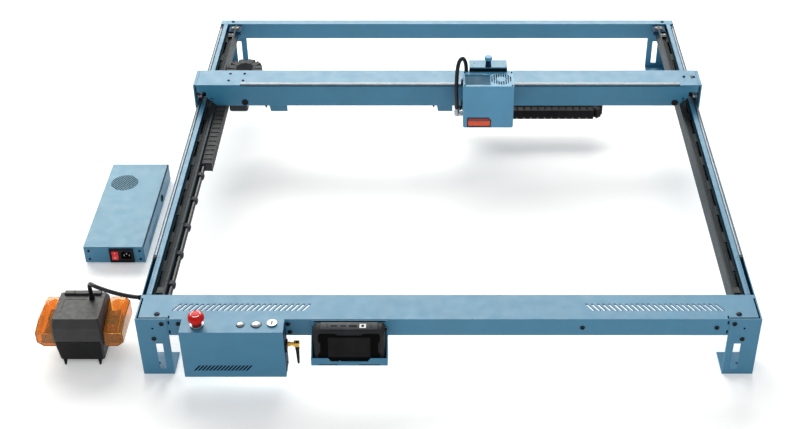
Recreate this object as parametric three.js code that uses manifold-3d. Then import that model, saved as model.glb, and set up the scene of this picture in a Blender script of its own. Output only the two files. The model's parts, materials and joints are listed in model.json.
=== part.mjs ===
// Large-format desktop laser cutter: a folded-sheet frame on four legs, a belt-driven gantry, a laser
// module on a carriage, a control box, a screen pad, a power supply and an air pump.
// Millimetres. +X is the operator's right, +Y is away from the operator, +Z is up, and z = 0 is the table.
import * as THREE from 'three';
import { mergeVertices } from 'three/addons/utils/BufferGeometryUtils.js';
import Module from 'manifold-3d';

const wasm = await Module();
wasm.setup();

// ---------------------------------------------------------------- driving dimensions
const GAP = 0.3;                    // clearance between touching pieces
const SHEET = 3;                    // folded sheet of the frame
const THIN = 2;                     // sheet of the small housings

const MACHINE = { x: 101.5, y: 25 };  // centre of the machine's frame, from the part's origin

const HALF_WIDTH = 575;             // frame, outside
const FRONT = -585;                 // front face of the frame
const BACK = 586;                   // rear edge of the frame
const TOP = 135;                    // top of the frame above the table
const FLOOR = 94;                   // underside of the beams

const FRONT_FLANGE = 71;            // depth of the front beam's top
const REAR_FLANGE = 21;             // depth of the rear beam's top
const LEG = 58.5;                   // width of a leg's plate and of its foot

const SHAFT_R = 3;                  // guide shafts
const SHAFT_X = 570;                // Y guide shafts
const SHAFT_Z = 133;
const SHAFT_START = -393;
const ROLLER_R = 7;
const ROLLER_BORE = 2.5;

const GANTRY_HALF = 573;
const GANTRY_FRONT = 174;
const GANTRY_BACK = 241.7;
const GANTRY_BOTTOM = 130.7;
const GANTRY_TOP = 185;
const X_SHAFT_Y = 179.4;
const X_SHAFT_Z = 184.4;
const MOTOR = 42;                   // square stepper motor
const MOTOR_X = -484.5;
const MOTOR_Y = 210.5;
const BELT_Z = 170;                 // X belt, inside the gantry
const BELT_R = 8.5;
const IDLER_X = 543.5;
const DRIVE_Y = 235;                // cross shaft that drives both Y belts
const DRIVE_Z = 138;
const DRIVE_R = 14.4;

const CARRIAGE_X = 91.5;            // middle of the carriage
const CARRIAGE_W = 85;
const CAP_TOP = 239;
const KNOB_Y = 165.6;

const LASER_W = 112.6;              // laser module
const LASER_D = 65;
const LASER_H = 107;
const LASER_FRONT = 93;
const LASER_BOTTOM = 122;

const BOX = { x: -488, y: -625, z: 29.5, w: 188.5, d: 39.7, h: 108 };   // control box
const PAD = { x: -181, w: 132, h: 75, t: 24, tilt: 15 };               // screen pad
const PSU = { x: -759, y: -247, w: 125.5, d: 309, h: 43 };             // power supply
const PUMP = { x: -696, y: -510, w: 92, front: -53, rear: 46, h: 108.5 };   // air pump

// ---------------------------------------------------------------- materials
function finish(color, roughness, metalness) {
  return () => new THREE.MeshStandardMaterial({ color, roughness, metalness });
}
const bluePaint = finish(0x4f7f9c, 0.5, 0.2);
const blackPlastic = finish(0x18191b, 0.55, 0);
const blackRubber = finish(0x141416, 0.8, 0);
const darkAnodised = finish(0x26282a, 0.45, 0.5);
const steel = finish(0xc8ccd0, 0.25, 1);
const aluminium = finish(0xb4b8bc, 0.4, 0.9);
const gold = finish(0xc9a14a, 0.3, 1);
const red = finish(0xb3201c, 0.35, 0);
const amber = finish(0xe07a26, 0.2, 0);
const amberGlass = finish(0xc0451c, 0.1, 0);
const circuitGreen = finish(0x1d5a3a, 0.5, 0);

// ---------------------------------------------------------------- shape helpers
const turns = {
  x: new THREE.Matrix4().set(0, 0, 1, 0, 1, 0, 0, 0, 0, 1, 0, 0, 0, 0, 0, 1),
  y: new THREE.Matrix4().set(0, 1, 0, 0, 0, 0, 1, 0, 1, 0, 0, 0, 0, 0, 0, 1),
  z: new THREE.Matrix4(),
};

function block(x0, x1, y0, y1, z0, z1) {
  const shape = new THREE.BoxGeometry(x1 - x0, y1 - y0, z1 - z0);
  return shape.translate((x0 + x1) / 2, (y0 + y1) / 2, (z0 + z1) / 2);
}

// An outline across an axis, drawn out along it. Points are [y, z], [x, z] or [x, y] for axis x, y or z.
function prism(axis, points, from, to) {
  const outline = points.map(([u, v]) => {
    if (axis === 'y') return new THREE.Vector2(v, u);
    return new THREE.Vector2(u, v);
  });
  const shape = new THREE.Shape(outline);
  const solidShape = new THREE.ExtrudeGeometry(shape, { depth: to - from, bevelEnabled: false });
  return solidShape.translate(0, 0, from).applyMatrix4(turns[axis]);
}

// A round bar along an axis. u and v are its middle, in the order that prism uses.
function rod(axis, radius, from, to, u, v, sides = 16, farRadius = radius) {
  const shape = new THREE.CylinderGeometry(farRadius, radius, to - from, sides);
  shape.rotateX(Math.PI / 2).translate(0, 0, (from + to) / 2);
  if (axis === 'x') shape.applyMatrix4(turns.x).translate(0, u, v);
  if (axis === 'y') shape.applyMatrix4(turns.y).translate(u, 0, v);
  if (axis === 'z') shape.translate(u, v, 0);
  return shape;
}

// A tube swept along a smooth route. sides is even.
const corner = (p) => new THREE.Vector3(...p);

function routeThrough(points) {
  return new THREE.CatmullRomCurve3(points.map(corner), false, 'centripetal');
}

function routeOfBends(bends) {
  const route = new THREE.CurvePath();
  for (const bend of bends) route.add(new THREE.CubicBezierCurve3(...bend.map(corner)));
  return route;
}

function hose(route, radius, steps, sides) {
  const section = new THREE.Shape();
  section.absarc(0, 0, radius, 0, 2 * Math.PI, false);
  return new THREE.ExtrudeGeometry(section, {
    steps, extrudePath: route, curveSegments: sides / 2, bevelEnabled: false,
  });
}

function solid(shape) {
  if (!(shape instanceof THREE.BufferGeometry)) return shape;
  const bare = shape.clone();
  bare.deleteAttribute('normal');
  bare.deleteAttribute('uv');
  const merged = mergeVertices(bare, 1e-4);
  return new wasm.Manifold(new wasm.Mesh({
    numProp: 3,
    vertProperties: new Float32Array(merged.attributes.position.array),
    triVerts: new Uint32Array(merged.index.array),
  }));
}

const join = (...shapes) => shapes.map(solid).reduce((whole, next) => whole.add(next));
const cut = (shape, ...tools) => solid(shape).subtract(join(...tools));
const common = (one, other) => solid(one).intersect(solid(other));

function geometryOf(shape) {
  if (shape instanceof THREE.BufferGeometry) return shape;
  const mesh = shape.getMesh();
  const geometry = new THREE.BufferGeometry();
  geometry.setAttribute('position', new THREE.BufferAttribute(new Float32Array(mesh.vertProperties), 3));
  geometry.setIndex(new THREE.BufferAttribute(new Uint32Array(mesh.triVerts), 1));
  geometry.computeVertexNormals();
  return geometry;
}

function place(group, name, shape, material) {
  const mesh = new THREE.Mesh(geometryOf(shape), material());
  mesh.name = name;
  group.add(mesh);
  return mesh;
}

// Mirrors an outline across x = 0 when side is -1, keeping its direction of travel.
function sided(side, points) {
  const moved = points.map(([x, v]) => [side * x, v]);
  return side < 0 ? moved.reverse() : moved;
}

// A block between two distances from the middle, on the left (-1) or the right (+1).
function sideBlock(side, near, far, y0, y1, z0, z1) {
  const xs = [side * near, side * far].sort((a, b) => a - b);
  return block(xs[0], xs[1], y0, y1, z0, z1);
}

// A row of slanted slots through a plate. rise is how far the far end of a slot leans along the row.
function slantedSlots({ axis, from, pitch, count, width, rise, low, high, near, far }) {
  const slots = [];
  for (let i = 0; i < count; i += 1) {
    const u = from + i * pitch;
    const outline = [[u, low], [u + width, low], [u + width + rise, high], [u + rise, high]];
    slots.push(prism(axis, outline, near, far));
  }
  return slots;
}

// ---------------------------------------------------------------- frame
function frontBeam() {
  const rear = FRONT + FRONT_FLANGE;
  const section = [
    [FRONT, FLOOR + 2.5], [FRONT + SHEET, FLOOR + 2.5], [FRONT + SHEET, TOP - SHEET],
    [rear - SHEET, TOP - SHEET], [rear - SHEET, TOP - 9], [rear, TOP - 9], [rear, TOP], [FRONT, TOP],
  ];
  const plateSpace = (side) => sideBlock(
    side, HALF_WIDTH - LEG - GAP, HALF_WIDTH + 1, FRONT - 1, FRONT + SHEET + 2, FLOOR, TOP + 1,
  );
  const flankSpace = (side) => sideBlock(
    side, HALF_WIDTH - SHEET - 2.5, HALF_WIDTH + 1, FRONT - 1, FRONT + LEG + 2, FLOOR, TOP + 1,
  );
  const slots = {
    axis: 'z', pitch: 10.4, count: 24, width: 5, low: -560, high: -540.5, near: TOP - 5, far: TOP + 2,
  };
  return cut(
    prism('x', section, -HALF_WIDTH, HALF_WIDTH),
    plateSpace(-1), plateSpace(1), flankSpace(-1), flankSpace(1),
    ...slantedSlots({ ...slots, from: -511.5, rise: 12.5 }),
    ...slantedSlots({ ...slots, from: 266.5, rise: -12.5 }),
  );
}

function rearBeam() {
  const front = BACK - REAR_FLANGE;
  const section = [
    [front, FLOOR], [front + 14, FLOOR], [front + 14, FLOOR + SHEET], [front + SHEET, FLOOR + SHEET],
    [front + SHEET, TOP - SHEET], [BACK, TOP - SHEET], [BACK, TOP], [front, TOP],
  ];
  return prism('x', section, -HALF_WIDTH, HALF_WIDTH);
}

// The side beam's outer wall has a groove along its top, where the guide shaft lies.
function sideBeam(side) {
  const outer = HALF_WIDTH;
  const section = [
    [outer, FLOOR], [outer, TOP - 1], [outer - 1.6, TOP - 1], [outer - 1.6, 129.6], [566.4, 129.6],
    [566.4, TOP], [556.5, TOP], [556.5, TOP - SHEET], [564, TOP - SHEET], [564, 127],
    [outer - SHEET, 127], [outer - SHEET, FLOOR + SHEET], [540, FLOOR + SHEET], [540, FLOOR],
  ];
  const start = FRONT + FRONT_FLANGE + GAP;
  const end = BACK - REAR_FLANGE - GAP;
  return prism('y', sided(side, section), start, end);
}

// Black liner in the side beam: a shelf for the belt, with oblong slots, and an inner wall.
function beltTray(side) {
  const section = [
    [563.5, 97.3], [563.5, 121], [537, 121], [537, TOP - 2], [533.3, TOP - 2], [533.3, 97.3],
    [536.3, 97.3], [536.3, 118], [560.5, 118], [560.5, 97.3],
  ];
  const start = FRONT + FRONT_FLANGE + 2;
  const end = BACK - REAR_FLANGE - 2;
  const slots = [];
  for (let y = start + 28; y < end - 70; y += 92) {
    slots.push(sideBlock(side, 550.5, 556, y, y + 60, 116, 123));
  }
  return cut(prism('y', sided(side, section), start, end), ...slots);
}

function leg(side, atFront) {
  const y0 = atFront ? FRONT : -FRONT - SHEET;
  const inner = HALF_WIDTH - LEG;
  const plateTop = atFront ? TOP : TOP - SHEET - GAP;
  const footStart = atFront ? FRONT : -FRONT - LEG;
  const sideTop = atFront ? TOP : FLOOR - GAP;
  const plate = sideBlock(side, inner, HALF_WIDTH, y0, y0 + SHEET, 0, plateTop);
  const window = sideBlock(side, inner + 14, inner + 27, y0 - 1, y0 + SHEET + 1, 13, 76);
  const plateHole = rod('y', 2, y0 - 1, y0 + SHEET + 1, side * 545, 112.8, 12);
  const footHole = rod('z', 2, -1, SHEET + 1, side * 549.5, Math.sign(y0) * 558, 12);
  const foot = sideBlock(side, inner, HALF_WIDTH, footStart, footStart + LEG, 0, SHEET);
  const flank = sideBlock(side, HALF_WIDTH - SHEET, HALF_WIDTH, footStart, footStart + LEG, 0, sideTop);
  return cut(join(plate, foot, flank), window, plateHole, footHole);
}

function yBelt(side) {
  return sideBlock(side, 537.6, 546.6, FRONT + FRONT_FLANGE + 12, BACK - REAR_FLANGE - 34, 121 + GAP, 123);
}

function addFrame(group) {
  place(group, 'front_beam', frontBeam(), bluePaint);
  place(group, 'rear_beam', rearBeam(), bluePaint);
  for (const [name, side] of [['left', -1], ['right', 1]]) {
    place(group, `${name}_side_beam`, sideBeam(side), bluePaint);
    place(group, `${name}_belt_tray`, beltTray(side), darkAnodised);
    place(group, `front_${name}_leg`, leg(side, true), bluePaint);
    place(group, `rear_${name}_leg`, leg(side, false), bluePaint);
    const shaft = rod('y', SHAFT_R, SHAFT_START, 542, side * SHAFT_X, SHAFT_Z);
    place(group, `${name}_guide_shaft`, shaft, steel);
    place(group, `${name}_y_belt`, yBelt(side), blackRubber);
  }
}

// ---------------------------------------------------------------- drag chains
const CHAIN_Y = { turnX: -489.5, turnY: 357.5, mean: 30.75, width: 21.5, z0: 106, z1: 127 };
const CHAIN_X = { turnX: 341, turnY: 271, mean: 20, width: 18, z0: 52, z1: 75.6 };

// Plan of a chain that lies on its side: one straight run, a half turn, and the run back.
function chainPlan(mean, width, firstRun, lastRun) {
  const out = mean + width / 2;
  const inside = mean - width / 2;
  const plan = new THREE.Shape();
  plan.moveTo(-out, -firstRun);
  plan.lineTo(-out, 0);
  plan.absarc(0, 0, out, Math.PI, 0, true);
  plan.lineTo(out, -lastRun);
  plan.lineTo(inside, -lastRun);
  plan.lineTo(inside, 0);
  plan.absarc(0, 0, inside, 0, Math.PI, false);
  plan.lineTo(-inside, -firstRun);
  plan.closePath();
  return plan;
}

function dragChain({ turnX, turnY, mean, width, z0, z1 }, firstRun, lastRun, turn) {
  const plan = chainPlan(mean, width, firstRun, lastRun);
  const chain = new THREE.ExtrudeGeometry(plan, {
    depth: z1 - z0, curveSegments: 14, bevelEnabled: false,
  });
  return chain.rotateZ(turn).translate(turnX, turnY, z0);
}

// ---------------------------------------------------------------- gantry
function gantryBeam() {
  const [front, back, low, high] = [GANTRY_FRONT, GANTRY_BACK, GANTRY_BOTTOM, GANTRY_TOP];
  const step = X_SHAFT_Y + SHAFT_R + GAP;               // behind the guide shaft's groove
  const ledge = X_SHAFT_Z - SHAFT_R - GAP;
  const section = [
    [front, low], [front + SHEET, low], [front + SHEET, ledge - SHEET], [step + SHEET, ledge - SHEET],
    [step + SHEET, high - SHEET], [back - SHEET, high - SHEET], [back - SHEET, low], [back, low],
    [back, high], [step, high], [step, ledge], [front, ledge],
  ];
  const shaftEnds = [
    block(-GANTRY_HALF, -472 - GAP, front, step + 1, ledge - SHEET, high),
    block(529.5 + GAP, GANTRY_HALF, front, step + 1, ledge - SHEET, high),
  ];
  const tab = (x0, x1, z0, slope) => prism(
    'y', [[x0, low + 4], [x0, low - slope], [x0 + slope, z0], [x1, z0], [x1, low + 4]], back - SHEET, back,
  );
  const mouthOutline = [
    [GANTRY_HALF + 1, 120], [GANTRY_HALF + 1, 166], [552, 166], [552, 152], [529, low - 1], [529, 120],
  ];
  const mouth = (side) => prism('y', sided(side, mouthOutline), front - 1, front + SHEET + 1);
  const rearMouth = (side) => sideBlock(side, 528, GANTRY_HALF + 1, back - 8, back + 1, 120, 160);
  const bolts = [];
  for (const x of [-501, -468]) {
    for (const y of [195, 226]) bolts.push(rod('z', 1.8, GANTRY_TOP - 5, GANTRY_TOP + 2, x, y, 10));
  }
  return cut(
    join(
      prism('x', section, -GANTRY_HALF, GANTRY_HALF), ...shaftEnds,
      rod('z', 2.5, BELT_Z - 1, GANTRY_TOP - 1, IDLER_X, MOTOR_Y, 12),
      tab(-425, -378, 76, 8), tab(-30, 12, 76, 8), tab(52, 90, 54, 4), tab(-472, -441, 102, 2),
    ),
    mouth(-1), mouth(1), rearMouth(-1), rearMouth(1), ...bolts,
  );
}

// Plate that closes the gantry's end outside the frame, with the two axle pins of its rollers.
const ROLLER_Y = [197, 222];
const ROLLER_Z = SHAFT_Z + SHAFT_R + ROLLER_R + GAP;
function endPlate(side) {
  const [front, back, top] = [GANTRY_FRONT, GANTRY_BACK, GANTRY_TOP];
  const plate = sideBlock(side, 577, 580, front, back, 123.7, top);
  const lip = sideBlock(side, GANTRY_HALF + GAP, 578, front, back, top - SHEET, top);
  const xs = [side * 564, side * 578].sort((a, b) => a - b);
  const pins = ROLLER_Y.map((y) => rod('x', ROLLER_BORE - GAP, xs[0], xs[1], y, ROLLER_Z, 12));
  return join(plate, lip, ...pins);
}

function roller(side, y) {
  const xs = [side * 566, side * 576.4].sort((a, b) => a - b);
  const wheel = rod('x', ROLLER_R, xs[0], xs[1], y, ROLLER_Z, 20);
  return cut(wheel, rod('x', ROLLER_BORE, xs[0] - 1, xs[1] + 1, y, ROLLER_Z, 12));
}

function stepperMotor(x, y, z0, z1, side, pilot) {
  const h = side / 2;
  const c = 4;                                          // cut corners
  const outline = [
    [-h + c, -h], [h - c, -h], [h, -h + c], [h, h - c], [h - c, h], [-h + c, h], [-h, h - c], [-h, -h + c],
  ];
  const body = prism('z', outline.map(([u, v]) => [x + u, y + v]), z0, z1);
  return pilot ? join(body, pilot) : body;
}

function xBelt() {
  const ring = (r) => {
    const plan = new THREE.Shape();
    plan.absarc(IDLER_X, MOTOR_Y, r, -Math.PI / 2, Math.PI / 2, false);
    plan.absarc(MOTOR_X, MOTOR_Y, r, Math.PI / 2, 1.5 * Math.PI, false);
    plan.closePath();
    const loop = new THREE.ExtrudeGeometry(plan, { depth: 8, curveSegments: 10, bevelEnabled: false });
    return loop.translate(0, 0, BELT_Z);
  };
  return cut(ring(BELT_R + 1.6), ring(BELT_R).translate(0, 0, -1), ring(BELT_R).translate(0, 0, 1));
}

function driveShaft() {
  const pulley = (side) => {
    const xs = [side * 537.8, side * 546.4].sort((a, b) => a - b);
    return rod('x', DRIVE_R, xs[0], xs[1], DRIVE_Y, DRIVE_Z, 24);
  };
  return join(rod('x', SHAFT_R, -550, 550, DRIVE_Y, DRIVE_Z, 12), pulley(-1), pulley(1));
}

function addGantry(group) {
  place(group, 'gantry_beam', gantryBeam(), bluePaint);
  place(group, 'gantry_left_end_plate', endPlate(-1), bluePaint);
  place(group, 'gantry_right_end_plate', endPlate(1), bluePaint);
  place(group, 'x_guide_shaft', rod('x', SHAFT_R, -472, 529.5, X_SHAFT_Y, X_SHAFT_Z), steel);
  const xShaft = rod('z', 2.5, 160, 179, MOTOR_X, MOTOR_Y, 12);
  place(group, 'x_motor', stepperMotor(MOTOR_X, MOTOR_Y, 106, 166, MOTOR, xShaft), darkAnodised);
  place(group, 'y_motor', stepperMotor(-435, 206, 131, 165, 36), darkAnodised);
  const pulley = (x) => cut(
    rod('z', BELT_R - GAP, BELT_Z - 1, BELT_Z + 9, x, MOTOR_Y, 20),
    rod('z', 2.5 + GAP, BELT_Z - 2, BELT_Z + 10, x, MOTOR_Y, 12),
  );
  place(group, 'x_motor_pulley', pulley(MOTOR_X), aluminium);
  place(group, 'x_idler_pulley', pulley(IDLER_X), aluminium);
  place(group, 'x_belt', xBelt(), blackRubber);
  place(group, 'y_drive_shaft', driveShaft(), steel);
  for (const [name, side] of [['left', -1], ['right', 1]]) {
    place(group, `front_${name}_roller`, roller(side, ROLLER_Y[0]), steel);
    place(group, `rear_${name}_roller`, roller(side, ROLLER_Y[1]), steel);
  }
}

// ---------------------------------------------------------------- carriage
function addCarriage(group) {
  const [x0, x1] = [CARRIAGE_X - CARRIAGE_W / 2, CARRIAGE_X + CARRIAGE_W / 2];
  const screwHole = rod('z', SHAFT_R + GAP, 150, CAP_TOP + 1, CARRIAGE_X, KNOB_Y, 12);
  const plate = block(x0, x1, 160, 171.5, 128, CAP_TOP - SHEET - GAP);
  place(group, 'carriage_plate', cut(plate, screwHole), blackPlastic);

  // The cap reaches back over the gantry and down to the moving end of the drag chain.
  const [a0, a1] = [92, 121];
  const armBack = CHAIN_X.turnY + CHAIN_X.mean + CHAIN_X.width / 2;
  const cap = join(
    block(x0, x1, 160, 194, CAP_TOP - SHEET, CAP_TOP),
    block(a0, a1, 191, 194, 189, CAP_TOP),
    block(a0, a1, 191, 254, 189, 192),
    block(a0, a1, 251, 254, CHAIN_X.z1 + GAP, 192),
    block(a0, a1, 251, armBack, CHAIN_X.z1 + GAP, CHAIN_X.z1 + SHEET),
  );
  place(group, 'carriage_cap', cut(cap, screwHole), bluePaint);

  const knob = join(
    rod('z', SHAFT_R, 152, 241, CARRIAGE_X, KNOB_Y, 12),
    rod('z', 6.7, CAP_TOP + GAP, 255, CARRIAGE_X, KNOB_Y, 20, 6),
    rod('z', 6, 254, 256, CARRIAGE_X, KNOB_Y, 20, 8.2),
    rod('z', 8.2, 256, 262.5, CARRIAGE_X, KNOB_Y, 20),
    rod('z', 8.2, 262.5, 264, CARRIAGE_X, KNOB_Y, 20, 7),
  );
  place(group, 'height_knob', knob, bluePaint);
}

// ---------------------------------------------------------------- laser module, by its front left corner
const LASER_FAN = { x: 85, y: 32.5, r: 24, hub: 10.5 };
const WINDOW = { x0: 10.4, x1: 61.6, z0: 3.2, z1: 25.2, corner: 5 };

function windowOutline(grow) {
  const { x0, x1, z0, z1, corner } = WINDOW;
  return [
    [x0 - grow, z0 - grow], [x1 + grow, z0 - grow], [x1 + grow, z1 - corner],
    [x1 - corner, z1 + grow], [x0 - grow, z1 + grow],
  ];
}

function laserHousing() {
  const body = prism('y', [
    [3, 0], [LASER_W - 3, 0], [LASER_W, 3], [LASER_W, LASER_H], [0, LASER_H], [0, 3],
  ], 0, LASER_D);
  const hollow = block(THIN, LASER_W - THIN, THIN, LASER_D - THIN, -1, LASER_H - 4);
  const recess = block(4.5, 60.5, 7, 53, LASER_H - 2, LASER_H + 1);
  const opening = prism('y', windowOutline(0), -1, THIN + 1);
  const { x, y, r, hub } = LASER_FAN;
  const bars = [];
  for (let i = -4; i <= 4; i += 1) {
    bars.push(block(x + i * 5.2 - 1.3, x + i * 5.2 + 1.3, y - r, y + r, LASER_H - 6, LASER_H + 1));
  }
  const disc = cut(
    rod('z', r, LASER_H - 6, LASER_H + 1, x, y, 28),
    rod('z', hub, LASER_H - 7, LASER_H + 2, x, y, 20),
  );
  return cut(body, hollow, recess, opening, common(join(...bars), disc));
}

function heatSink() {
  const parts = [
    block(8, 56, 10, 55, 30, 34), block(8, 105, 10, 55, 34, 38),
    rod('z', 11, 6, 32, 36, 34, 20), rod('z', 5, -6, 8, 36, 34, 16, 8),
  ];
  for (let x = 12; x <= 98; x += 10) parts.push(block(x, x + 3, 10, 55, 37, 74));
  return join(...parts);
}

function fanRotor(x, y, z, radius, height, hub, blades) {
  const parts = [rod('z', hub, z, z + height, x, y, 20)];
  for (let i = 0; i < blades; i += 1) {
    const blade = block(hub - 1, radius, -0.9, 0.9, 0, height - 1);
    blade.rotateX(0.6).rotateZ((2 * Math.PI * i) / blades).translate(x, y, z + 0.2);
    parts.push(common(blade, rod('z', radius, z, z + height, x, y, 24)));
  }
  return join(...parts);
}

function addLaser(group) {
  const laser = new THREE.Group();
  laser.position.set(34.7, LASER_FRONT, LASER_BOTTOM);
  group.add(laser);
  place(laser, 'laser_housing', laserHousing(), bluePaint);
  place(laser, 'heat_sink', heatSink(), aluminium);
  place(laser, 'laser_fan', fanRotor(LASER_FAN.x, LASER_FAN.y, 80, 21, 12, 9, 7), blackPlastic);
  const pane = prism('y', windowOutline(-GAP - 0.2), 0.4, THIN);
  place(laser, 'laser_window', pane, amberGlass);
  const route = [
    [7.8, 71.6, 40], [7.8, 71.6, 70], [7.6, 71.5, 100], [6.5, 70.5, 122], [2.5, 67, 137],
    [-3.5, 61, 142.5], [-9.5, 54, 136], [-13, 47.5, 118], [-14.5, 41.5, 92], [-14.6, 37, 66],
    [-14, 34.2, 44], [-13.5, 33.2, 26],
  ];
  place(laser, 'module_hose', hose(routeThrough(route), 4.5, 34, 10), blackRubber);
}

// ---------------------------------------------------------------- control box
const ESTOP = { x: -457, y: -605 };
const START = { x: -378.7, y: -603, r: 4.5 };
const PAUSE = { x: -349.8, y: -602.5, r: 6.5 };
const KEY = { x: -321, y: -600 };
const ANTENNA = { y: -605, z: 93, x: -278 };

function controllerHousing() {
  const { x, y, z, w, d, h } = BOX;
  const top = z + h;
  const hollow = block(x + THIN, x + w - THIN, y + THIN, y + d - THIN, z + THIN, top - THIN);
  const holes = [
    rod('z', 11 + GAP, top - 4, top + 2, ESTOP.x, ESTOP.y, 20),
    rod('z', START.r + GAP, top - 4, top + 2, START.x, START.y, 16),
    rod('z', PAUSE.r + GAP, top - 4, top + 2, PAUSE.x, PAUSE.y, 16),
    rod('z', 8 + GAP, top - 4, top + 2, KEY.x, KEY.y, 20),
    rod('x', 3 + GAP, x + w - 4, x + w + 2, ANTENNA.y, ANTENNA.z, 12),
  ];
  const vents = slantedSlots({
    axis: 'y', from: -470, pitch: 6.8, count: 15, width: 4.2, rise: 11, low: 45, high: 58,
    near: y - 1, far: y + THIN + 1,
  });
  return cut(block(x, x + w, y, y + d, z, top), hollow, ...holes, ...vents);
}

function controlBoard() {
  const board = block(-474, -314, -592, -590.4, 42, 112);
  const chips = [[-460, 50, 26], [-425, 56, 18], [-380, 48, 34], [-345, 80, 22], [-440, 84, 30]];
  const chip = ([x, z, size]) => block(x, x + size, -600, -591, z, z + size * 0.7);
  return join(board, ...chips.map(chip));
}

function addControls(group) {
  const top = BOX.z + BOX.h;
  place(group, 'controller_housing', controllerHousing(), bluePaint);
  place(group, 'control_board', controlBoard(), circuitGreen);

  const collar = join(
    rod('z', 12.4, top + GAP, top + 4.5, ESTOP.x, ESTOP.y, 24),
    rod('z', 11, 108, top + 1, ESTOP.x, ESTOP.y, 20),
  );
  const stemHole = rod('z', 9 + GAP, 124, top + 6, ESTOP.x, ESTOP.y, 20);
  place(group, 'estop_base', cut(collar, stemHole), aluminium);
  const head = join(
    rod('z', 9, 130, 148, ESTOP.x, ESTOP.y, 20),
    rod('z', 10, 147.2, 153, ESTOP.x, ESTOP.y, 24, 14.6),
    rod('z', 14.6, 153, 160, ESTOP.x, ESTOP.y, 24, 15),
    rod('z', 15, 160, 163.5, ESTOP.x, ESTOP.y, 24, 13),
    rod('z', 13, 163.5, 165.5, ESTOP.x, ESTOP.y, 24, 9),
  );
  place(group, 'estop_head', head, red);
  const startButton = rod('z', START.r, 124, top + 3.4, START.x, START.y, 16);
  place(group, 'start_button', startButton, aluminium);
  const pauseButton = rod('z', PAUSE.r, 124, top + 3, PAUSE.x, PAUSE.y, 16);
  place(group, 'pause_button', pauseButton, aluminium);

  const barrel = join(
    rod('z', 9.3, top + GAP, top + 3, KEY.x, KEY.y, 24),
    rod('z', 8, 104, top + 1, KEY.x, KEY.y, 20),
  );
  const coreHole = rod('z', 5.5 + GAP, 118, top + 4, KEY.x, KEY.y, 20);
  place(group, 'key_lock_barrel', cut(barrel, coreHole), aluminium);
  const core = rod('z', 5.5, 120, top + 3.4, KEY.x, KEY.y, 20);
  const keyway = block(KEY.x - 0.8, KEY.x + 0.8, KEY.y - 3.4, KEY.y + 3.4, 132, 143);
  place(group, 'key_lock_core', cut(core, keyway), steel);

  const { x, y, z } = ANTENNA;
  const elbow = join(
    rod('x', 3, -304, -290, y, z, 12),
    rod('x', 4.6, BOX.x + BOX.w + GAP, -290, y, z, 12),
    rod('x', 3.6, -290, -282, y, z, 12),
    block(-283, -273.6, y - 4.5, y - 2.6, z - 3.6, z + 5),
    block(-283, -273.6, y + 2.6, y + 4.5, z - 3.6, z + 5),
    block(-284, -281.6, y - 4.5, y + 4.5, z - 3.6, z + 5),
  );
  place(group, 'antenna_elbow', elbow, gold);
  const whip = join(
    rod('z', 2.6, z - 47, z - 6, x, y, 12, 4),
    block(x - 2.2, x + 2.2, y - 2.2, y + 2.2, z - 8, z + 3),
  );
  place(group, 'antenna_whip', whip, blackPlastic);
}

// ---------------------------------------------------------------- screen pad and its holder, tilted back
function addScreen(group) {
  const tilted = new THREE.Group();
  tilted.position.set(PAD.x, -588, 137);
  tilted.rotation.x = -THREE.MathUtils.degToRad(PAD.tilt);
  group.add(tilted);
  const [hw, h, t] = [PAD.w / 2, PAD.h, PAD.t];
  const c = 6;
  const outline = [
    [-hw + c, -h], [hw - c, -h], [hw, -h + c], [hw, -4.5 - c],
    [hw - c, -4.5], [-hw + c, -4.5], [-hw, -4.5 - c], [-hw, -h + c],
  ];
  const body = prism('y', outline, -t, 0);
  const screenWell = block(-39, 39, -t - 1, -t + 1.2, -63, -20);
  place(tilted, 'screen_pad', cut(body, screenWell), blackPlastic);

  const wide = hw + 2 + THIN;
  const flank = (x0, x1) => prism('x', [
    [2.3, -h - 4.3], [2.3, -14], [-2, -14], [-t - 4.3, -h + 8.5], [-t - 4.3, -h - 4.3],
  ], x0, x1);
  const notch = [[-hw + 27, -h + 11], [-hw + 32, -h + 4], [hw - 32, -h + 4], [hw - 27, -h + 11]];
  const lip = cut(
    block(-wide, wide, -t - 4.3, -t - 2.3, -h - 4.3, -h + 10.5),
    prism('y', notch, -t - 6, -t),
  );
  const shelfSlots = [
    block(-hw + 10, -hw + 48, -t - 1, -6, -h - 6, -h - 2),
    block(hw - 48, hw - 10, -t - 1, -6, -h - 6, -h - 2),
  ];
  const holder = join(
    block(-wide, wide, 0.5, 2.3, -h - 4.3, -2),
    cut(block(-wide, wide, -t - 4.3, 2.3, -h - 4.3, -h - 2.3), ...shelfSlots),
    lip, flank(-wide, -wide + THIN), flank(wide - THIN, wide),
  );
  // The tongue that screws the holder to the beam stands upright.
  const upright = new THREE.Matrix4().makeRotationX(THREE.MathUtils.degToRad(PAD.tilt));
  const tongue = block(-wide, wide, 0.2, 2.7, -39, -3).applyMatrix4(upright);
  const beamSpace = block(-wide - 1, wide + 1, 2.7, 30, -60, 20).applyMatrix4(upright);
  place(tilted, 'screen_holder', cut(join(holder, tongue), beamSpace), bluePaint);
}

// ---------------------------------------------------------------- power supply, by its front left corner
const VENT = { x: 40.5, y: 235.5, r: 30 };
const INLET = { x0: 53.4, x1: 102.7, z0: 6, z1: 38.8 };

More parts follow.
